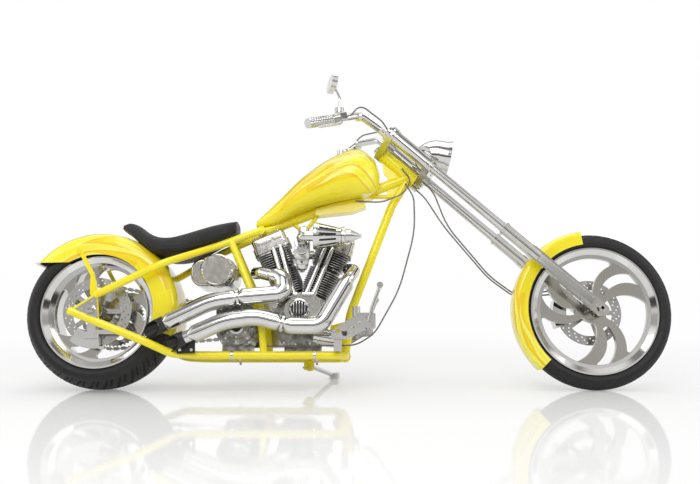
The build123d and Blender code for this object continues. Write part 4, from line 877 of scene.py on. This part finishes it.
@dataclass
class Tyre:
    """A tyre with a cut tread and rings on its sidewalls."""

    node: str
    body: Body
    axle: Pair
    radius: float
    width: float
    crown: float  # radius of the arc across the tread
    flange: float  # radius of the rim's edge
    rim: float  # the rim's width
    pitch: float  # from groove to groove on one side
    groove: float
    depth: float
    lean: float  # how far a groove leans back as it runs out
    long: Pair = (0.10, 0.86)  # where the long grooves start and fade, as parts of the half width
    short: Pair = (0.46, 0.90)
    crown_points: int = 61
    wall_points: int = 17
    steps: int = 900

    def profile(self) -> Grid:
        """The section: crown arc, two sidewall arcs and a foot, as rows of Y and radius."""
        edge_y = self.width / 2 - self.width / 12
        edge_r = self.radius - self.crown + math.sqrt(self.crown**2 - edge_y**2)
        foot_y, foot_r, top_r = self.rim / 2 - 7.8, self.flange - 13.7, self.flange + 0.3
        waist = (self.width / 2, (edge_r + top_r) / 2)
        crown = arc_through((-edge_y, edge_r), (0, self.radius), (edge_y, edge_r), self.crown_points)
        right = arc_through((edge_y, edge_r), waist, (foot_y, top_r), self.wall_points)[1:]
        foot = ((foot_y, foot_r), (-foot_y, foot_r))
        return np.concatenate((crown, right, foot, right[::-1] * (-1.0, 1.0)))

    def tread(self, y: Grid, around_it: Grid) -> Grid:
        """How deep the tread is cut, from 0 to 1.

        Slanted grooves run out from the middle and lean back as they go; each side is half a pitch on from
        the other. A shorter groove lies between each two, and all fade out before the shoulder.

        Args:
            y: distance across from the middle.
            around_it: distance along the tread.

        Returns:
            The cut at each point.
        """
        half = self.width / 2
        across = np.abs(y) / half
        start = around_it + np.where(y > 0, self.pitch / 2, 0.0)
        sweep = self.lean * across**1.5 * half
        long = rise(wrapped(start - sweep, self.pitch), self.groove / 2)
        long *= (across > self.long[0]) * np.clip((self.long[1] - across) / 0.05, 0, 1)
        short = rise(wrapped(start + self.pitch / 2 - sweep * 0.8, self.pitch), self.groove / 2.6)
        inner, outer = self.short
        short *= np.clip((across - inner) / 0.04, 0, 1) * np.clip((outer - across) / 0.04, 0, 1)
        return np.maximum(long, short)

    def build(self, paints: Paints) -> None:
        """Makes the tyre and lets it stand for its node."""
        y, radius = self.profile().T[:, None]
        angle = np.linspace(0, 2 * np.pi, self.steps, endpoint=False)
        on_crown = np.arange(y.size) < self.crown_points
        cut = self.tread(y, angle[:, None] * self.radius) * on_crown
        rings = sum(rise(radius - self.flange - step, 1.2, 1.4) for step in (9.0, 22.0)) * ~on_crown * 1.2
        grid = spun(self.axle, angle, y + np.sign(y) * rings, radius - self.depth * cut)
        Shell().skin(grid, ends=False).finish(self.node + "_tread", self.body, paints.rubber, Slot.TYRE,
                                              self.node, smooth=38.0)


# ---------------------------------------------------------------- bodywork
@dataclass
class Tank:
    """The fuel tank: one smooth drop that runs up to the steering head."""

    # station X, underside Z, top Z, half width, half width of the flat underside
    stations: tuple[tuple[float, ...], ...] = (
        (664, 724, 752, 18, 12), (760, 738, 846, 64, 40), (880, 792, 964, 112, 72),
        (1010, 830, 1052, 144, 96), (1120, 852, 1088, 148, 100), (1192, 872, 1040, 112, 76),
        (1218, 905, 984, 60, 44),
    )
    steps: int = 12
    top_column: int = 31

    def grid(self) -> Grid:
        """Sections of three arcs and a flat underside, carried smoothly from station to station."""
        rows = []
        for x, low, top, half, flat in smooth_path(self.stations, self.steps):
            height = top - low
            widest, shoulder = (half, low + 0.40 * height), (0.66 * half, low + 0.82 * height)
            right = arc_through((flat, low), widest, shoulder, 20)
            left = right[::-1] * (-1.0, 1.0)
            crown = arc_through(right[-1], (0.0, top), left[0], 25)
            under = np.linspace((-flat, low), (flat, low), 12)[1:-1]
            ring = np.concatenate((right[:-1], crown, left[1:], under))
            rows.append(np.column_stack((np.full(len(ring), x), -ring[:, 0], ring[:, 1])))
        return np.array(rows)

    def build(self, paints: Paints) -> None:
        """Makes the tank and its filler cap."""
        flames = GhostFlames(name="tank_flames", root=0.56, back=-1.0, tongues=(
            (0.33, 0.030, 0.018, 0.030, 0.010, 7.0, 0.3), (0.40, 0.085, 0.060, 0.027, -0.011, 7.5, 0.8),
            (0.30, 0.137, 0.105, 0.026, 0.012, 8.0, 0.1), (0.42, 0.188, 0.118, 0.025, -0.010, 7.0, 1.4),
            (0.27, 0.236, 0.180, 0.023, 0.010, 8.0, 2.4)))
        grid = self.grid()
        tank = Shell().skin(grid).finish("tank_shell", Body.CHASSIS, flames.build(), Slot.YELLOW, "fuel_tank",
                                         smooth=60.0)
        mapped(tank, grid, self.top_column)
        cap = Shell().lathe(((0, 0.1), (0, 33), (4, 36), (9, 36), (12, 33), (14, 29), (15.5, 14), (16, 0.1)),
                            (1085, 0, 1078), (-0.20, 0.0, 1.0), 64)
        cap.finish("tank_cap", Body.CHASSIS, paints.chrome, Slot.CHROME)


@dataclass
class Fender:
    """A fender: a rounded shell turned about its wheel, rolled at its edge."""

    node: str
    body: Body
    axle: Pair
    inner: float  # radius of the inner face
    skirt: float  # radius of the side walls' edge
    half: float
    thick: float
    corner: float
    start: float
    arc: float
    crown: float
    flat_tail: float | None = None
    steps: int = 160

    def ring(self) -> Grid:
        """The section: a channel with round shoulders and a crowned top, as rows of Y and radius."""
        top, out = self.inner + self.thick, self.half + self.thick
        y0, r0 = out - self.corner, top - self.corner
        angle = np.linspace(0, np.pi / 2, 12)
        shoulder = (y0, r0) + self.corner * np.stack((np.cos(angle), np.sin(angle)), -1)
        wall = np.linspace((out, self.skirt), (out, r0), 10)[:-1]
        right = np.concatenate((wall, shoulder, np.linspace((y0, top), (0, top), 10)[1:]))
        right[:, 1] += self.crown * (1 - (right[:, 0] / out) ** 2)
        outside = np.concatenate((right, right[-2::-1] * (-1.0, 1.0)))
        inside = outside[::-1] * ((out - self.thick) / out, 1.0) - (0.0, self.thick)
        inside[:, 1] = np.maximum(inside[:, 1], self.skirt)
        return np.concatenate((outside, inside))

    def build(self, finish: bpy.types.Material) -> None:
        """Makes the shell.

        Args:
            finish: its paint.
        """
        ring = self.ring()
        angle = np.radians(self.start - np.linspace(0, self.arc, self.steps))
        grid = spun(self.axle, angle, *ring.T[:, None])
        if self.flat_tail is not None:
            height = grid[..., 2]
            low = (height < self.flat_tail) & (grid[..., 0] < -100)
            grid[..., 2] = np.where(low, self.flat_tail + 0.02 * (height - self.flat_tail), height)
        piece = Shell().skin(grid, channel=True).finish(self.node + "_shell", self.body, finish, Slot.YELLOW,
                                                        self.node, smooth=50.0)
        mapped(piece, grid, len(ring) // 4)  # the middle of the outer face


def bodywork(paints: Paints) -> None:
    """Makes the tank and the fenders, in flame lacquer."""
    Tank().build(paints)
    rear = GhostFlames(name="rear_fender_flames", root=0.10, back=1.0,
                       lining=(*REAR_AXLE, 338.0, 132.0, 5.0, 44.0), tongues=(
        (0.52, 0.028, 0.018, 0.027, 0.010, 7.0, 0.2), (0.62, 0.082, 0.060, 0.026, -0.012, 7.4, 0.9),
        (0.46, 0.135, 0.110, 0.026, 0.012, 8.0, 0.1), (0.58, 0.186, 0.150, 0.024, -0.010, 7.0, 1.6),
        (0.40, 0.232, 0.205, 0.020, 0.008, 8.0, 2.2)))
    front = GhostFlames(name="front_fender_flames", root=0.05, back=1.0,
                        lining=(*FRONT_AXLE, 353.0, 51.0, 3.0, 21.0), tongues=(
        (0.34, 0.016, 0.012, 0.017, 0.007, 7.0, 0.2), (0.42, 0.050, 0.040, 0.017, -0.008, 8.0, 0.9),
        (0.30, 0.086, 0.072, 0.016, 0.007, 7.0, 0.1)))
    Fender("rear_fender", Body.CHASSIS, REAR_AXLE, inner=338.0, skirt=245.0, half=132.0, thick=4.0,
           corner=48.0, start=146.0, arc=164.0, crown=5.0, flat_tail=540.0).build(rear.build())
    Fender("front_fender", Body.FORK, FRONT_AXLE, inner=353.0, skirt=296.0, half=51.0, thick=3.0,
           corner=24.0, start=226.0, arc=128.0, crown=3.0).build(front.build())


# ---------------------------------------------------------------- seat
# station X, underside Z, top Z, half width, crown
SEAT = (
    (80, 698, 722, 66, 3), (112, 676, 726, 90, 7), (150, 642, 710, 112, 10), (195, 602, 676, 132, 12),
    (245, 578, 654, 146, 13), (300, 572, 652, 148, 13), (360, 578, 668, 142, 12), (420, 600, 690, 128, 11),
    (480, 630, 712, 108, 10), (535, 658, 728, 90, 8), (580, 684, 740, 72, 4),
)


def seat(paints: Paints) -> None:
    """Makes the stepped leather cushion and the piping along its sides.

    A section is a superellipse whose top is crowned and whose sides tuck in to the pan.
    """
    side_power, top_power, tuck, seam = 0.42, 0.5, 0.10, 0.35
    c, s = circle(72).T
    rows, edge = [], []
    for x, low, top, half, crown in smooth_path(SEAT, 8):
        middle, tall = (low + top) / 2, (top - low) / 2
        y = half * np.sign(c) * np.abs(c) ** side_power * np.where(s < 0, 1 - tuck * s**2, 1.0)
        raised = crown * np.where(s > 0, 1 - (y / half) ** 2, 0)
        z = middle + tall * np.sign(s) * np.abs(s) ** top_power + raised
        rows.append(np.column_stack((np.full_like(y, x), y, z)))
        edge.append((x, half + 0.5, middle - tall * seam))
    cushion = Shell().skin(np.array(rows)).finish("seat_cushion", Body.CHASSIS, paints.leather, Slot.LEATHER,
                                                  "seat", smooth=70.0)
    piping = Shell()
    for side in SIDES:
        piping.pipe(np.array(edge) * (1, side, 1), 2.6, 10)
    piping.finish("seat_piping", Body.CHASSIS, paints.leather, Slot.LEATHER)


# ---------------------------------------------------------------- exhausts
@dataclass
class Exhausts:
    """Two pipes under polished shields, with black ends cut on a slant."""

    rear: tuple[Point, ...] = ((672, -58, 505), (700, -96, 500), (798, -150, 468), (806, -172, 398),
                               (640, -174, 384), (500, -174, 366), (236, -174, 238))
    front: tuple[Point, ...] = ((1076, -58, 520), (1104, -96, 512), (1082, -160, 470), (962, -188, 262),
                                (840, -188, 262), (690, -186, 300), (560, -186, 282), (322, -180, 178))
    rear_bends: tuple[float, ...] = (30, 34, 34, 160, 300)
    front_bends: tuple[float, ...] = (30, 40, 60, 160, 200, 300)
    pipe_r: float = 27.0
    shield_r: float = 37.0
    shield_t: float = 2.2
    half_turn: float = 118.0
    rows: int = 110
    end_r: float = 33.0
    end_l: float = 96.0
    slant: float = 40.0

    def line(self, path: Grid, start: float, end: float) -> Grid:
        """Even points of a path between two parts of its length."""
        run = np.insert(np.cumsum(np.linalg.norm(np.diff(path, axis=0), axis=1)), 0, 0.0)
        wanted = np.linspace(start, end, self.rows) * run[-1]
        return np.stack([np.interp(wanted, run, path[:, k]) for k in range(3)], -1)

    def shield(self, shell: Shell, path: Grid, start: float, end: float) -> None:
        """Adds a shield: a sleeve over the pipe's outer side, rounded at its ends.

        Its section is an arc of shield_r about the pipe, a wall thick, and both ends narrow by
        1 - 0.5 * (1 - distance / 8) ** 2 within eight rows.

        Args:
            shell: what grows.
            path: the pipe's middle line.
            start: where it begins, as a part of the path's length.
            end: where it ends.
        """
        line = self.line(path, start, end)
        angle = np.radians(np.linspace(-self.half_turn, self.half_turn, 33))
        arc = np.stack((np.cos(angle), np.sin(angle)), -1)
        section = np.concatenate((arc * self.shield_r, arc[::-1] * (self.shield_r - self.shield_t)))
        near = np.minimum(np.arange(self.rows), np.arange(self.rows)[::-1])
        tips = 1.0 - 0.5 * np.clip(1 - near / 8.0, 0, 1) ** 2
        along = unit(np.gradient(line, axis=0))
        out = outward(along)
        up = np.cross(along, out)
        shell.skin(line[:, None] + out[:, None] * section[:, :1]
                   + up[:, None] * section[:, 1:] * tips[:, None, None], channel=True)

    def slant_end(self, shell: Shell, start: Grid, tail: Grid) -> None:
        """Adds an open black end whose mouth is cut on a slant, longest on the side towards the wheel.

        A point of the mouth at angle a from straight out lies end_l - slant * cos a along the tail.

        Args:
            shell: what grows.
            start: the middle of its near end.
            tail: the way that the pipe leaves.
        """
        out = outward(tail)
        turn = circle(48)
        ring = turn @ np.stack((out, np.cross(tail, out)))
        outer, inner = self.end_r, self.end_r - 4.0
        # distance along as a part of the length, part of the slant, radius
        rows = ((0.0, 0.0, 24.0), (0.0, 0.0, outer), (0.45, 0.6, outer), (0.62, 1.0, outer - 1.0),
                (0.63, 1.0, outer - 2.5), (0.62, 1.0, inner), (0.30, 0.5, inner), (0.06, 0.0, inner),
                (0.04, 0.0, 0.5))
        grid = [start + tail * (part * self.end_l - cut * self.slant * turn[:, :1]) + ring * radius
                for part, cut, radius in rows]
        shell.skin(np.array(grid))

    def build(self, paints: Paints) -> None:
        """Makes the pipes, shields, clamps and ends."""
        pipes, shields, ends = Shell(), Shell(), Shell()
        for points, bends in ((self.rear, self.rear_bends), (self.front, self.front_bends)):
            path = rounded_path(points, bends, 14)
            pipes.pipe(self.line(path, 0.0, 0.93), self.pipe_r, 32)
            self.shield(shields, path, 0.13, 0.50)
            self.shield(shields, path, 0.508, 0.90)
            tail = unit(path[-1] - path[-2])
            self.slant_end(ends, path[-1] - tail * (self.end_l - 16.0), tail)
            seam = self.line(path, 0.504, 0.52)
            shields.lathe(((-5, 34), (-5, 38.6), (5, 38.6), (5, 34)), seam[0], seam[-1] - seam[0])
            shields.bolt(seam[0] + RIGHT * 39.0, RIGHT, 5.0)
        pipes.finish("exhaust_pipes", Body.CHASSIS, paints.chrome, Slot.CHROME,
                     "rear_exhaust", "front_exhaust")
        shields.finish("exhaust_shields", Body.CHASSIS, paints.chrome, Slot.CHROME)
        ends.finish("exhaust_ends", Body.CHASSIS, paints.black, Slot.BLACK)


# ---------------------------------------------------------------- engine dress
def on_circle(centre: Pair, radius: float, degrees: Grid) -> Grid:
    """X and Z of points of a circle."""
    angle = np.radians(degrees)
    return np.asarray(centre, float) + radius * np.stack((np.cos(angle), np.sin(angle)), -1)


def around(centre: Pair, radius: float, count: int, turn: float = 0.0) -> Grid:
    """X and Z of points spaced evenly round a circle."""
    return on_circle(centre, radius, turn + np.linspace(0, 360, count, endpoint=False))


@dataclass
class Engine:
    """Bolts, rings, blocks and covers over the cast pieces of the V-twin."""

    case_y: float = -72.0
    head_to: float = 348.0
    rocker_to: float = 428.0
    rocker_w: float = 132.0
    cam: Pair = (868.0, 340.0)
    cam_y: float = -122.0
    gear: Pair = (601.0, 262.0)
    gear_y: float = -92.0
    chain: Pair = (618.0, 306.0)
    primary_y: float = 220.0
    cleaner: Point = (0.0, -206.0, 640.0)
    drum_at: Point = (510.0, -136.0, 506.0)
    trim: Shell = field(default_factory=Shell)
    dark: Shell = field(default_factory=Shell)
    panel: Shell = field(default_factory=Shell)

    def rockers(self) -> None:
        """Gaskets, raised panels and bolts on the rocker boxes."""
        base, top, half = np.array((CRANK[0], 0.0, CRANK[1])), self.head_to, self.rocker_w / 2
        for c, s in map(turned, (-TILT, TILT)):
            axes = np.array(((c, 0.0, -s), (0.0, 1.0, 0.0), (s, 0.0, c)))
            for out, half_l, half_w in ((top, 84.6, 66.6), (top + 30.0, 79.0, 61.0)):
                self.dark.block(base + axes[2] * out, (half_l, half_w, 1.5), 0.34, axes)
            for side in SIDES:
                for along in (-62.0, -22.0, 22.0, 62.0):
                    self.trim.bolt(base + (along, side * half, top + 16) @ axes, axes[1] * side, 6.0)
                for along, half_l in ((-23.0, 33.0), (38.0, 21.0)):
                    middle = base + (along, side * (half - 6.0), top + 51) @ axes
                    self.panel.block(middle, (half_l, 1.8, 12.5), 0.4, axes)
            for along in (-52.0, 52.0):
                for across in (-38.0, 38.0):
                    self.trim.bolt(base + (along, across, self.rocker_to) @ axes, axes[2], 7.0)

    def cam_chest(self) -> None:
        """The ringed cover with its barred window, a black disc behind the bars as painted shade, tappet blocks
        and edge bolts.
        """
        x, z = self.cam
        middle = (x, self.cam_y, z)
        self.trim.lathe(((-1, 34), (-1, 46), (4, 46), (8, 43), (9, 39), (7, 35), (3, 34)), middle, RIGHT, 72)
        # painted shade: a black disc behind the window's bars
        self.dark.lathe(((-1, 0.1), (-1, 34.5), (1.2, 34.5), (1.2, 0.1)), middle, RIGHT)
        for step in (-24.0, -12.0, 0.0, 12.0, 24.0):
            self.trim.block((x + step, self.cam_y - 2.6, z), (2.2, 2.2, math.sqrt(33.0**2 - step**2)), 0.5)
        self.trim.bolts(around(self.cam, 51.0, 8, 22.5), self.cam_y + 10.0, RIGHT, 4.2)
        self.trim.bolts(((816, 336), (826, 388), (940, 390), (952, 336), (914, 272), (836, 272)),
                        self.case_y - 30.0, RIGHT, 5.5)
        for x in (831.0, 903.0):
            self.trim.block((x, -88.0, 403.0), (30.0, 17.0, 11.0), 0.3)
            self.trim.bolts(((x - 24.0, 414.0), (x + 24.0, 414.0)), -96.0, UP, 4.5)

    def gearbox(self) -> None:
        """Bolted covers on the gearbox's right side and the crankcase's edge."""
        x, z = self.gear
        face = self.gear_y - 34.0
        self.trim.bolts(around(self.gear, 65.0, 8), self.gear_y - 22.0, RIGHT, 5.5)
        self.trim.bolts(around(self.gear, 43.0, 6, 30.0), face, RIGHT, 4.2)
        self.trim.lathe(((-1, 20), (-1, 30), (3, 30), (5, 27), (5, 22), (3, 20)), (x, face, z), RIGHT)
        self.dark.lathe(((-1, 0.1), (-1, 20.5), (1.5, 20.5), (1.5, 0.1)), (x, face, z), RIGHT, 40)
        self.trim.bolts(((530, 340), (552, 378), (630, 386), (660, 360), (536, 204), (652, 200)), self.gear_y,
                        RIGHT, 5.5)
        self.trim.bolts(((772, 300), (782, 366), (800, 200), (850, 192), (912, 196), (958, 222), (972, 300),
                         (962, 368)), self.case_y, RIGHT, 5.0)

    def intake(self) -> None:
        """The carburettor's bowl and cover, and a black cone behind the cleaner's slots as painted shade."""
        x = CRANK[0]
        # painted shade: a black cone inside the cleaner, seen through its slots
        self.dark.lathe(((954, 0.1), (954, 51.0), (1039, 33.5), (1039, 0.1)), self.cleaner, AHEAD, 60)
        self.trim.lathe(((-6, 0.1), (-6, 30), (4, 30), (6, 27), (30, 25), (40, 20), (44, 12), (50, 11),
                         (52, 8), (52, 0.1)), (x, -112.0, 552.0), DOWN)
        self.trim.lathe(((-2, 0.1), (-2, 26), (6, 26), (9, 22), (9, 12), (12, 10), (12, 0.1)),
                        (x, -142.0, 600.0), RIGHT)
        self.trim.bolts(around((x, 600.0), 22.0, 4, 45.0), -148.0, RIGHT, 3.4)
        self.trim.lathe(((-2, 23), (-2, 28), (8, 28), (8, 23)), (x, -142.0, 627.0), RIGHT + UP * 0.2, 40)
        self.trim.lathe(((-3, 0.1), (-3, 24), (3, 25), (9, 21), (12, 12), (13, 0.1)), (878.0, -22.0, 700.0),
                        RIGHT, 40)
        self.trim.lathe(((930, 56.2), (934, 58.2), (946, 58.2), (950, 56.2)), self.cleaner, AHEAD, 64)

    def drum(self) -> None:
        """A rolled rim and bolts on the oil drum's face."""
        x, y, z = self.drum_at
        self.trim.lathe(((-3, 60), (-3, 66), (2, 68), (4, 66), (4, 62), (1, 59)), self.drum_at, RIGHT, 72)
        self.trim.bolts(around((x, z), 50.0, 4, 45.0), y, RIGHT, 3.2)

    def primary(self) -> None:
        """Bolts on the left cover: a circle at each shaft, and a row round each end."""
        for centre, radius, count in ((self.chain, 56.0, 6), (CRANK, 32.0, 5)):
            self.trim.bolts(around(centre, radius, count, 18.0), self.primary_y + 9.0, LEFT, 5.0)
        for centre, radius, *span in ((self.chain, 96.0, 80.0, 262.0, 6), (CRANK, 77.0, -85.0, 96.0, 5)):
            self.trim.bolts(on_circle(centre, radius, np.linspace(*span)), self.primary_y - 2.0, LEFT, 5.0)

    def build(self, paints: Paints) -> None:
        """Makes the trim, and the dark pieces: gaskets and painted shade."""
        for dress in (self.rockers, self.cam_chest, self.gearbox, self.intake, self.drum, self.primary):
            dress()
        self.trim.finish("engine_trim", Body.CHASSIS, paints.chrome, Slot.CHROME)
        # gaskets, and painted shade behind the cam window and the cleaner's slots
        self.dark.finish("engine_gaskets_and_painted_shade", Body.CHASSIS, paints.black, Slot.BLACK)
        self.panel.finish("rocker_panels", Body.CHASSIS, paints.steel, Slot.CHROME)


# ---------------------------------------------------------------- frame, fork and hub dress
def frame_fittings(paints: Paints) -> None:
    """Clamps on the lower rails, panels on the axle plates and bolts on the controls."""
    rail_y, rail_z, stay_y = 130.0, 142.0, 182.0
    bright, panels = Shell(), Shell()
    for side in SIDES:
        for x in (588.0, 935.0):
            middle = np.array((x, side * rail_y, rail_z))
            bright.lathe(((-5, 17.2), (-5, 19.4), (5, 19.4), (5, 17.2)), middle, AHEAD, 40)
            bright.block(middle + DOWN * 22.0, (5.0, 4.0, 6.0), 0.3)
    inlay = ((-70, 331), (20, 391), (31, 290))
    panels.plate(inlay, -stay_y - 7.0, 2.0)
    panels.plate(inlay, stay_y + 9.0, 2.0)
    bright.bolts(((-42.0, 331.0), (0.0, 363.0)), -stay_y - 9.0, RIGHT, 5.0)
    for place in ((1020.0, 232.0), (1098.0, 262.0), (1150.0, 300.0), (1180.0, 262.0), (1178.0, 304.0)):
        for side in SIDES:
            bright.bolts((place,), side * 188.0, LEFT * side, 6.0)
    bright.bolts(((376.0, 162.0), (424.0, 162.0)), -177.0, RIGHT, 7.0)
    bright.finish("frame_fittings", Body.CHASSIS, paints.chrome, Slot.CHROME)
    panels.finish("axle_plate_panels", Body.CHASSIS, paints.polished, Slot.ALLOY)


def fork_fittings(paints: Paints) -> None:
    """Bolts and rings on the trees, the legs and the caliper."""
    bright, panels = Shell(), Shell()
    axle, leg_y = STANCE.fork(0, 0, 0), 108.0
    up, ahead = STANCE.fork(0, 0, 1) - axle, STANCE.fork(1, 0, 0) - axle
    axes = np.stack((ahead, LEFT, up))
    for side in SIDES:
        out = LEFT * side
        for low in (960.0, 1180.0):
            for across in (-12.0, 12.0):
                bright.bolt(STANCE.fork(across, side * 142.5, low), out, 5.0)
        bright.lathe(((0, 0.1), (0, 19.5), (5, 19.5), (8, 15), (8, 8), (5, 7), (5, 0.1)),
                     STANCE.fork(0, side * leg_y, 1203.0), up, 36)
        for low, radius in ((980.0, 30.6), (1155.0, 30.6), (545.0, 21.2), (562.0, 21.2)):
            bright.lathe(((0, radius - 2), (0, radius + 1.4), (5, radius + 1.4), (5, radius - 2)),
                         STANCE.fork(0, side * leg_y, low), up, 40)
        for low in (24.0, -16.0, 350.0, 380.0):
            bright.bolt(STANCE.fork(0, side * 125.0, low), out, 5.5)
        panels.block(STANCE.fork(0, side * 123.3, 205.0), (15.8, 1.1, 163.0), 0.5, axes)
    bright.lathe(((0, 0.1), (0, 21), (9, 21), (12, 17), (12, 0.1)), STANCE.fork(-70.0, 0, 1200.0), up, 6)
    bright.finish("fork_fittings", Body.FORK, paints.chrome, Slot.CHROME)
    panels.finish("fork_leg_panels", Body.FORK, paints.steel, Slot.CHROME)


def hub_fittings(paints: Paints) -> None:
    """Disc bolts on each wheel, with the sprocket's at the rear and the far side's at the front."""
    # radius of the circle, count, turn, Y of the face, radius of the heads
    for name, body, axle, circles in (
        ("rear_hub_trim", Body.REAR, REAR_AXLE,
         ((24.5, 5, 36.0, -111.6, 4.2), (104.0, 5, 0.0, -111.6, 5.0), (40.0, 5, 36.0, 154.4, 6.0))),
        ("front_hub_trim", Body.FRONT, FRONT_AXLE,
         ((24.5, 5, 36.0, 57.6, 4.2), (104.0, 5, 0.0, 57.6, 5.0), (26.0, 6, 0.0, -62.0, 4.2))),
    ):
        trim = Shell()
        for radius, count, turn, face, head in circles:
            trim.bolts(around(axle, radius, count, turn), face, LEFT if face > 0 else RIGHT, head)
        trim.finish(name, body, paints.chrome, Slot.RIM)


# ---------------------------------------------------------------- the studio
@dataclass
class Studio:
    """A white floor, soft lamps and a camera level with the engine."""

    distance: float = 3500.0
    eye: float = 560.0
    aim_x: float = 1085.0
    focal_px: float = 765.0
    picture: Pair = (700.0, 484.0)
    centre_px: Pair = (350.0, 262.0)
    sensor: float = 36.0
    lamps: tuple[tuple, ...] = (
        # name, place, aim, side, watts
        ("key_lamp", (-0.6, -3.2, 3.4), (0.0, 0.0, 0.4), 2.6, 66.0),
        ("front_lamp", (3.6, -1.2, 2.0), (0.0, 0.0, 0.5), 1.8, 20.0),
        ("rear_lamp", (-3.6, -0.8, 1.8), (0.0, 0.0, 0.5), 1.8, 16.0),
        ("top_lamp", (0.0, 0.6, 4.2), (0.0, 0.0, 0.0), 3.0, 45.0),
    )

    def floor(self) -> None:
        """A pale glossy floor that fades into the white behind it."""
        bpy.ops.mesh.primitive_plane_add(size=60.0, location=(0.0, 0.0, 0.0))
        floor = bpy.context.object
        floor.name = "studio_floor"
        surface = Surface("white_floor")
        surface.set(Base_Color=(0.93, 0.93, 0.93), Roughness=surface.noise(1.5, FINE) * 0.02 + 0.05)
        x, y, _ = surface.upright()
        middle, stretch = 1.07, 0.35  # the motorcycle's middle, and how much slower the floor fades along it
        away = ((x - middle) ** 2.0 * stretch + y * y) ** 0.5
        glossy = surface.node("LightPath", output="Is Glossy Ray")
        seen = glossy.also("Is Camera Ray").most(glossy)
        least, most = 0.2, 0.75  # how white the floor is near the motorcycle, and how much whiter it gets
        share = away.ramp(0.3, 3.0) * most * seen + seen * least
        white = surface.node("Emission", {"Strength": 1.0})
        faded = surface.node("MixShader", {0: share, 1: Wire(surface, surface.shader.outputs[0]), 2: white})
        surface.join(faded, surface.output.inputs[0])
        floor.data.materials.append(surface.material)

    def lamp(self, name: str, at: Point, aim: Point, size: float, watts: float) -> None:
        """One soft square lamp.

        Args:
            name: the lamp's name.
            at: its place, in metres.
            aim: the point that it faces, in metres.
            size: its side, in metres.
            watts: its power.
        """
        light = bpy.data.lights.new(name, "AREA")
        light.energy = watts
        light.size = size
        lamp = bpy.data.objects.new(name, light)
        lamp.location = at
        x, y, z = np.array(at) - np.array(aim)
        lamp.rotation_euler = (math.atan2(math.hypot(x, y), z), 0.0, math.atan2(x, -y))
        bpy.context.scene.collection.objects.link(lamp)

    def world(self) -> None:
        """White all round, with dark bands that only bright metal picks up.

        Bands high up lie all round. The ones near the horizon lie on the camera's side alone, so the floor,
        which the camera sees from above, mirrors none of them.
        """
        world = bpy.data.worlds.new("studio")
        bpy.context.scene.world = world
        bench = Bench(world)
        way = bench.node("SeparateXYZ", {0: bench.node("TexCoord", output="Generated")})
        height = bench.node("MapRange", {"Value": way.also("Z"), "From Min": -1.0})

        def bands(*stops: Pair) -> Wire:
            """A ramp of greys over the height of the direction, from -1 straight down to 1 straight up."""
            ramp = bench.node("ValToRGB", {0: height})
            elements = ramp.socket.node.color_ramp.elements
            for place, (level, grey) in enumerate(stops):
                stop = elements[place] if place < 2 else elements.new((level + 1) / 2)
                stop.position = (level + 1) / 2
                warm = 1.0 - 0.10 * (1.0 - grey)
                stop.color = (grey, grey * (1.0 + warm) / 2, grey * warm, 1.0)
            return ramp

        high = bands((-1.0, 0.95), (0.30, 0.95), (0.36, 0.08), (0.53, 0.08), (0.60, 0.9), (0.76, 1.0),
                     (0.84, 0.3), (0.94, 1.0))
        low = bands((-1.0, 1.0), (-0.03, 1.0), (0.0, 0.05), (0.15, 0.10), (0.20, 0.85), (0.25, 0.80),
                    (0.30, 0.54), (0.46, 0.48), (0.51, 1.0), (0.70, 1.0), (0.78, 0.22), (0.92, 0.30),
                    (0.97, 1.0))
        sky = bench.blend(way.also("Y").ramp(-0.05, -0.35), high, low)
        soft, seen = (bench.node("Background", {0: (1.0,) * 4, 1: strength}) for strength in (0.55, 1.0))
        glossy = bench.node("LightPath", output="Is Glossy Ray")
        light = bench.node("MixShader", {0: glossy, 1: soft, 2: bench.node("Background", {0: sky})})
        looks = glossy.also("Is Camera Ray").most(glossy.also("Is Transmission Ray"))
        bench.join(bench.node("MixShader", {0: looks, 1: light, 2: seen}), bench.output.inputs[0])

    def camera(self) -> None:
        """A long-lens camera square to the motorcycle's right side."""
        width, height = self.picture
        data = bpy.data.cameras.new("camera")
        data.sensor_width = self.sensor
        data.lens = self.sensor * self.focal_px / width
        data.shift_x = (width / 2 - self.centre_px[0]) / width
        data.shift_y = (self.centre_px[1] - height / 2) / width
        data.clip_end = 100.0
        camera = bpy.data.objects.new("camera", data)
        spot = STANCE.place(np.array((self.aim_x, 0.0, 0.0)))
        camera.location = (spot[0], -self.distance * MM, self.eye * MM)
        camera.rotation_euler = (math.radians(90.0), 0.0, 0.0)
        bpy.context.scene.collection.objects.link(camera)
        bpy.context.scene.camera = camera

    def build(self) -> None:
        """Sets the whole studio up."""
        bpy.context.scene.view_settings.view_transform = "Standard"
        self.floor()
        for row in self.lamps:
            self.lamp(*row)
        self.world()
        self.camera()


def main() -> None:
    """Dresses the motorcycle, piece by piece."""
    logging.basicConfig(level=logging.INFO, format="%(name)s: %(message)s")
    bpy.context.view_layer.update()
    paints = Paints()
    paints.dress_frame()
    Studio().build()
    Tyre("rear_tyre", Body.REAR, REAR_AXLE, radius=330.0, width=250.0, crown=190.0, flange=243.0, rim=222.0,
         pitch=62.8, groove=7.0, depth=6.0, lean=0.55).build(paints)
    Tyre("front_tyre", Body.FRONT, FRONT_AXLE, radius=345.0, width=90.0, crown=50.0, flange=281.0, rim=78.0,
         pitch=43.4, groove=4.6, depth=3.5, lean=0.9).build(paints)
    bodywork(paints)
    seat(paints)
    Exhausts().build(paints)
    Engine().build(paints)
    frame_fittings(paints)
    fork_fittings(paints)
    hub_fittings(paints)


if __name__ == "__main__":
    main()
